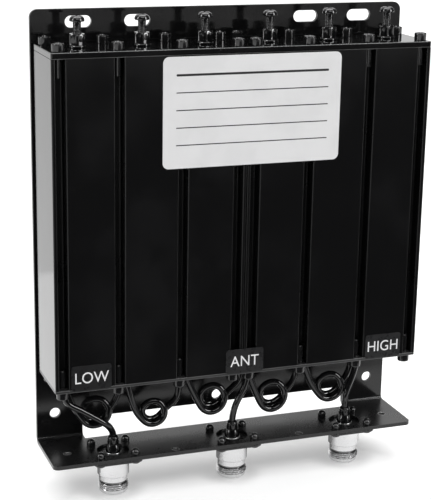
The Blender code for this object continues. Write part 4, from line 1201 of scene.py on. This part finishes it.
def floor_glow_with_painted_shadow(look):
    """How far the paper is lifted to white by its glow, which leaves a painted shadow: least under
    the object and round each connector, more away from it.
    """
    split = look.tree.nodes.new("ShaderNodeSeparateXYZ")
    look.tree.links.new(look.place, split.inputs[0])
    front = look.span(split.outputs["Y"], -0.017, 0.008, 1.0, 0.0)
    # Painted shadow round each connector's foot
    port_painted_shadow = look.span(look.port_distance()[0], 0.009, 0.02, 0.35, 1.0)
    front = look.maths("MULTIPLY", front, port_painted_shadow)
    behind = look.span(split.outputs["Y"], 0.03, 0.09, 0.0, 1.0)
    side = look.span(look.maths("ABSOLUTE", split.outputs["X"], 0.0), 0.074, 0.1, 0.0, 1.0)
    away = look.maths("MAXIMUM", look.maths("MAXIMUM", front, behind), side)
    return look.span(away, 0.0, 1.0, 0.14, 0.42)


def floor():
    look = Look("floor_white", (0.86, 0.86, 0.86), 0.7)
    look.uneven(8.0, 0.65, 0.8)
    look.set("Specular IOR Level", 0.1)
    # The floor's glow carries the painted shadow
    glow_with_painted_shadow = look.maths("MULTIPLY", floor_glow_with_painted_shadow(look), seen_ray(look.tree))
    look.set("Emission Color", (1.0, 1.0, 1.0, 1.0))
    look.tree.links.new(glow_with_painted_shadow, look.shader.inputs["Emission Strength"])
    stage_plane("floor", level(-6.0, 6.0, -6.0, 6.0, -0.0003), look.made)


def studio():
    """White surroundings and one soft light overhead."""
    world = bpy.data.worlds.new("studio")
    bpy.context.scene.world = world
    world.use_nodes = True
    tree = world.node_tree
    background = tree.nodes["Background"]
    background.inputs["Color"].default_value = (1, 1, 1, 1)
    strength = tree.nodes.new("ShaderNodeMapRange")
    strength.inputs["To Min"].default_value = 0.92
    strength.inputs["To Max"].default_value = 1.0
    tree.links.new(seen_ray(tree), strength.inputs["Value"])
    tree.links.new(strength.outputs["Result"], background.inputs["Strength"])
    area_light("overhead", (0.1, 0.1, 1.3), (0.0, 0.05, 0.0), (1.2, 1.0), 1.1)


def cards():
    """What the gloss mirrors, tuned from the photograph's side. No card lights the object."""
    near, far, z = -0.078, -1.85, 0.003
    card("front_dark", [(-0.25, far, z), (1.5, far, z), (0.7, near, z), (-0.25, near, z)], 0.015)
    card("floor_front", level(-0.03, 0.2, -0.125, -0.088, 0.004), 1.6)
    card("floor_left", level(-0.4, -0.11, 0.11, 0.38, 0.002), 1.8)
    # A dark sheet under the object: a painted shadow that the connectors' edges mirror
    card("floor_under_painted_shadow", level(-0.1, 0.1, 0.004, 0.06, 0.001), 0.2)
    facing_card("room_front", (-0.2, -1.9, 1.2), (-0.2, 0.0, 1.2), (3.4, 2.3), 0.02)
    facing_card("room_left", (-1.9, 0.0, 1.2), (0.0, 0.0, 1.2), (3.8, 2.3), 0.1)
    facing_card("room_right", (1.9, 0.0, 1.2), (0.0, 0.0, 1.2), (3.8, 2.3), 0.1)
    facing_card("key_right", (0.88, -0.86, 0.6), (0.0, 0.0, 0.2), (0.24, 0.95), 15.0)
    facing_card("strip_front", (-0.1, -1.0, 0.95), (0.0, 0.0, 0.05), (1.0, 0.14), 9.0)
    facing_card("box_left", (-1.2, -0.12, 0.62), (0.0, 0.0, 0.2), (0.22, 0.95), 13.0)
    card("overhead_strip", level(-0.7, 0.7, 0.02, 0.2, 1.25), 12.0)


def camera():
    """The photograph's viewpoint."""
    yaw, pitch, roll = CAMERA_YAW, CAMERA_PITCH, CAMERA_ROLL
    level_share = math.cos(pitch)
    forward = Vector((math.sin(yaw) * level_share, math.cos(yaw) * level_share, -math.sin(pitch)))
    right = Vector((math.cos(yaw), -math.sin(yaw), 0))
    down = forward.cross(right)
    across = right * math.cos(roll) - down * math.sin(roll)
    below = right * math.sin(roll) + down * math.cos(roll)
    data = bpy.data.cameras.new("camera")
    data.sensor_width = 36.0
    data.lens = FOCAL_LENGTH / PHOTO_HIGH * data.sensor_width
    data.clip_start = 0.01
    data.clip_end = 30.0
    obj = linked("camera", data)
    turn = Matrix((across, -below, -forward)).transposed().to_4x4()
    obj.matrix_world = Matrix.Translation(Vector(CAMERA_PLACE) * MM) @ turn
    bpy.context.scene.camera = obj


def dress_nodes():
    """Materials for the nodes whose own mesh stays."""
    looks = {"bracket_spacer": SPACER, "bracket_screw": SCREW}
    looks.update({"resonator_rod": SILVER, "coupling_loop": COPPER})
    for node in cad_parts:
        for start, look in looks.items():
            if node.startswith(start):
                obj = bpy.data.objects.get(node)
                for material_slot in obj.material_slots:
                    material_slot.material = look


camera()
floor()
studio()
cards()
cavity_block("cavity_block_low", -1)
cavity_block("cavity_block_high", 1)
tuner_holes = [circle(x, BODY_MID_Y, TUNER_HOLE_RADIUS, 32) for x in CAVITY_XS]
cover("top_cover", COVER_UNDER_Z, BODY_TOP_Z, 1, tuner_holes)
cover("bottom_cover", BODY_BOTTOM_Z, FLOOR_Z, -1, cable_ports())
bracket()
shelf_hole_rims()
for number, cavity_x in enumerate(CAVITY_XS, 1):
    tuning_screw(number, cavity_x)
    lock_nut(number, cavity_x)
for number in range(5):
    cable(f"link_cable_{number + 1}", link_knots(number))
for port, port_x in PORTS.items():
    cable(f"feed_cable_{port}", feed_knots(port))
    connector_shell(port, port_x)
    connector_flange(port, port_x)
    connector_fixings(port, port_x)
    connector_inside(port, port_x)
    connector_hood(port, port_x)
main_label()
port_labels()
dress_nodes()
even_faces()

scene = bpy.context.scene
scene.view_settings.view_transform = "Standard"
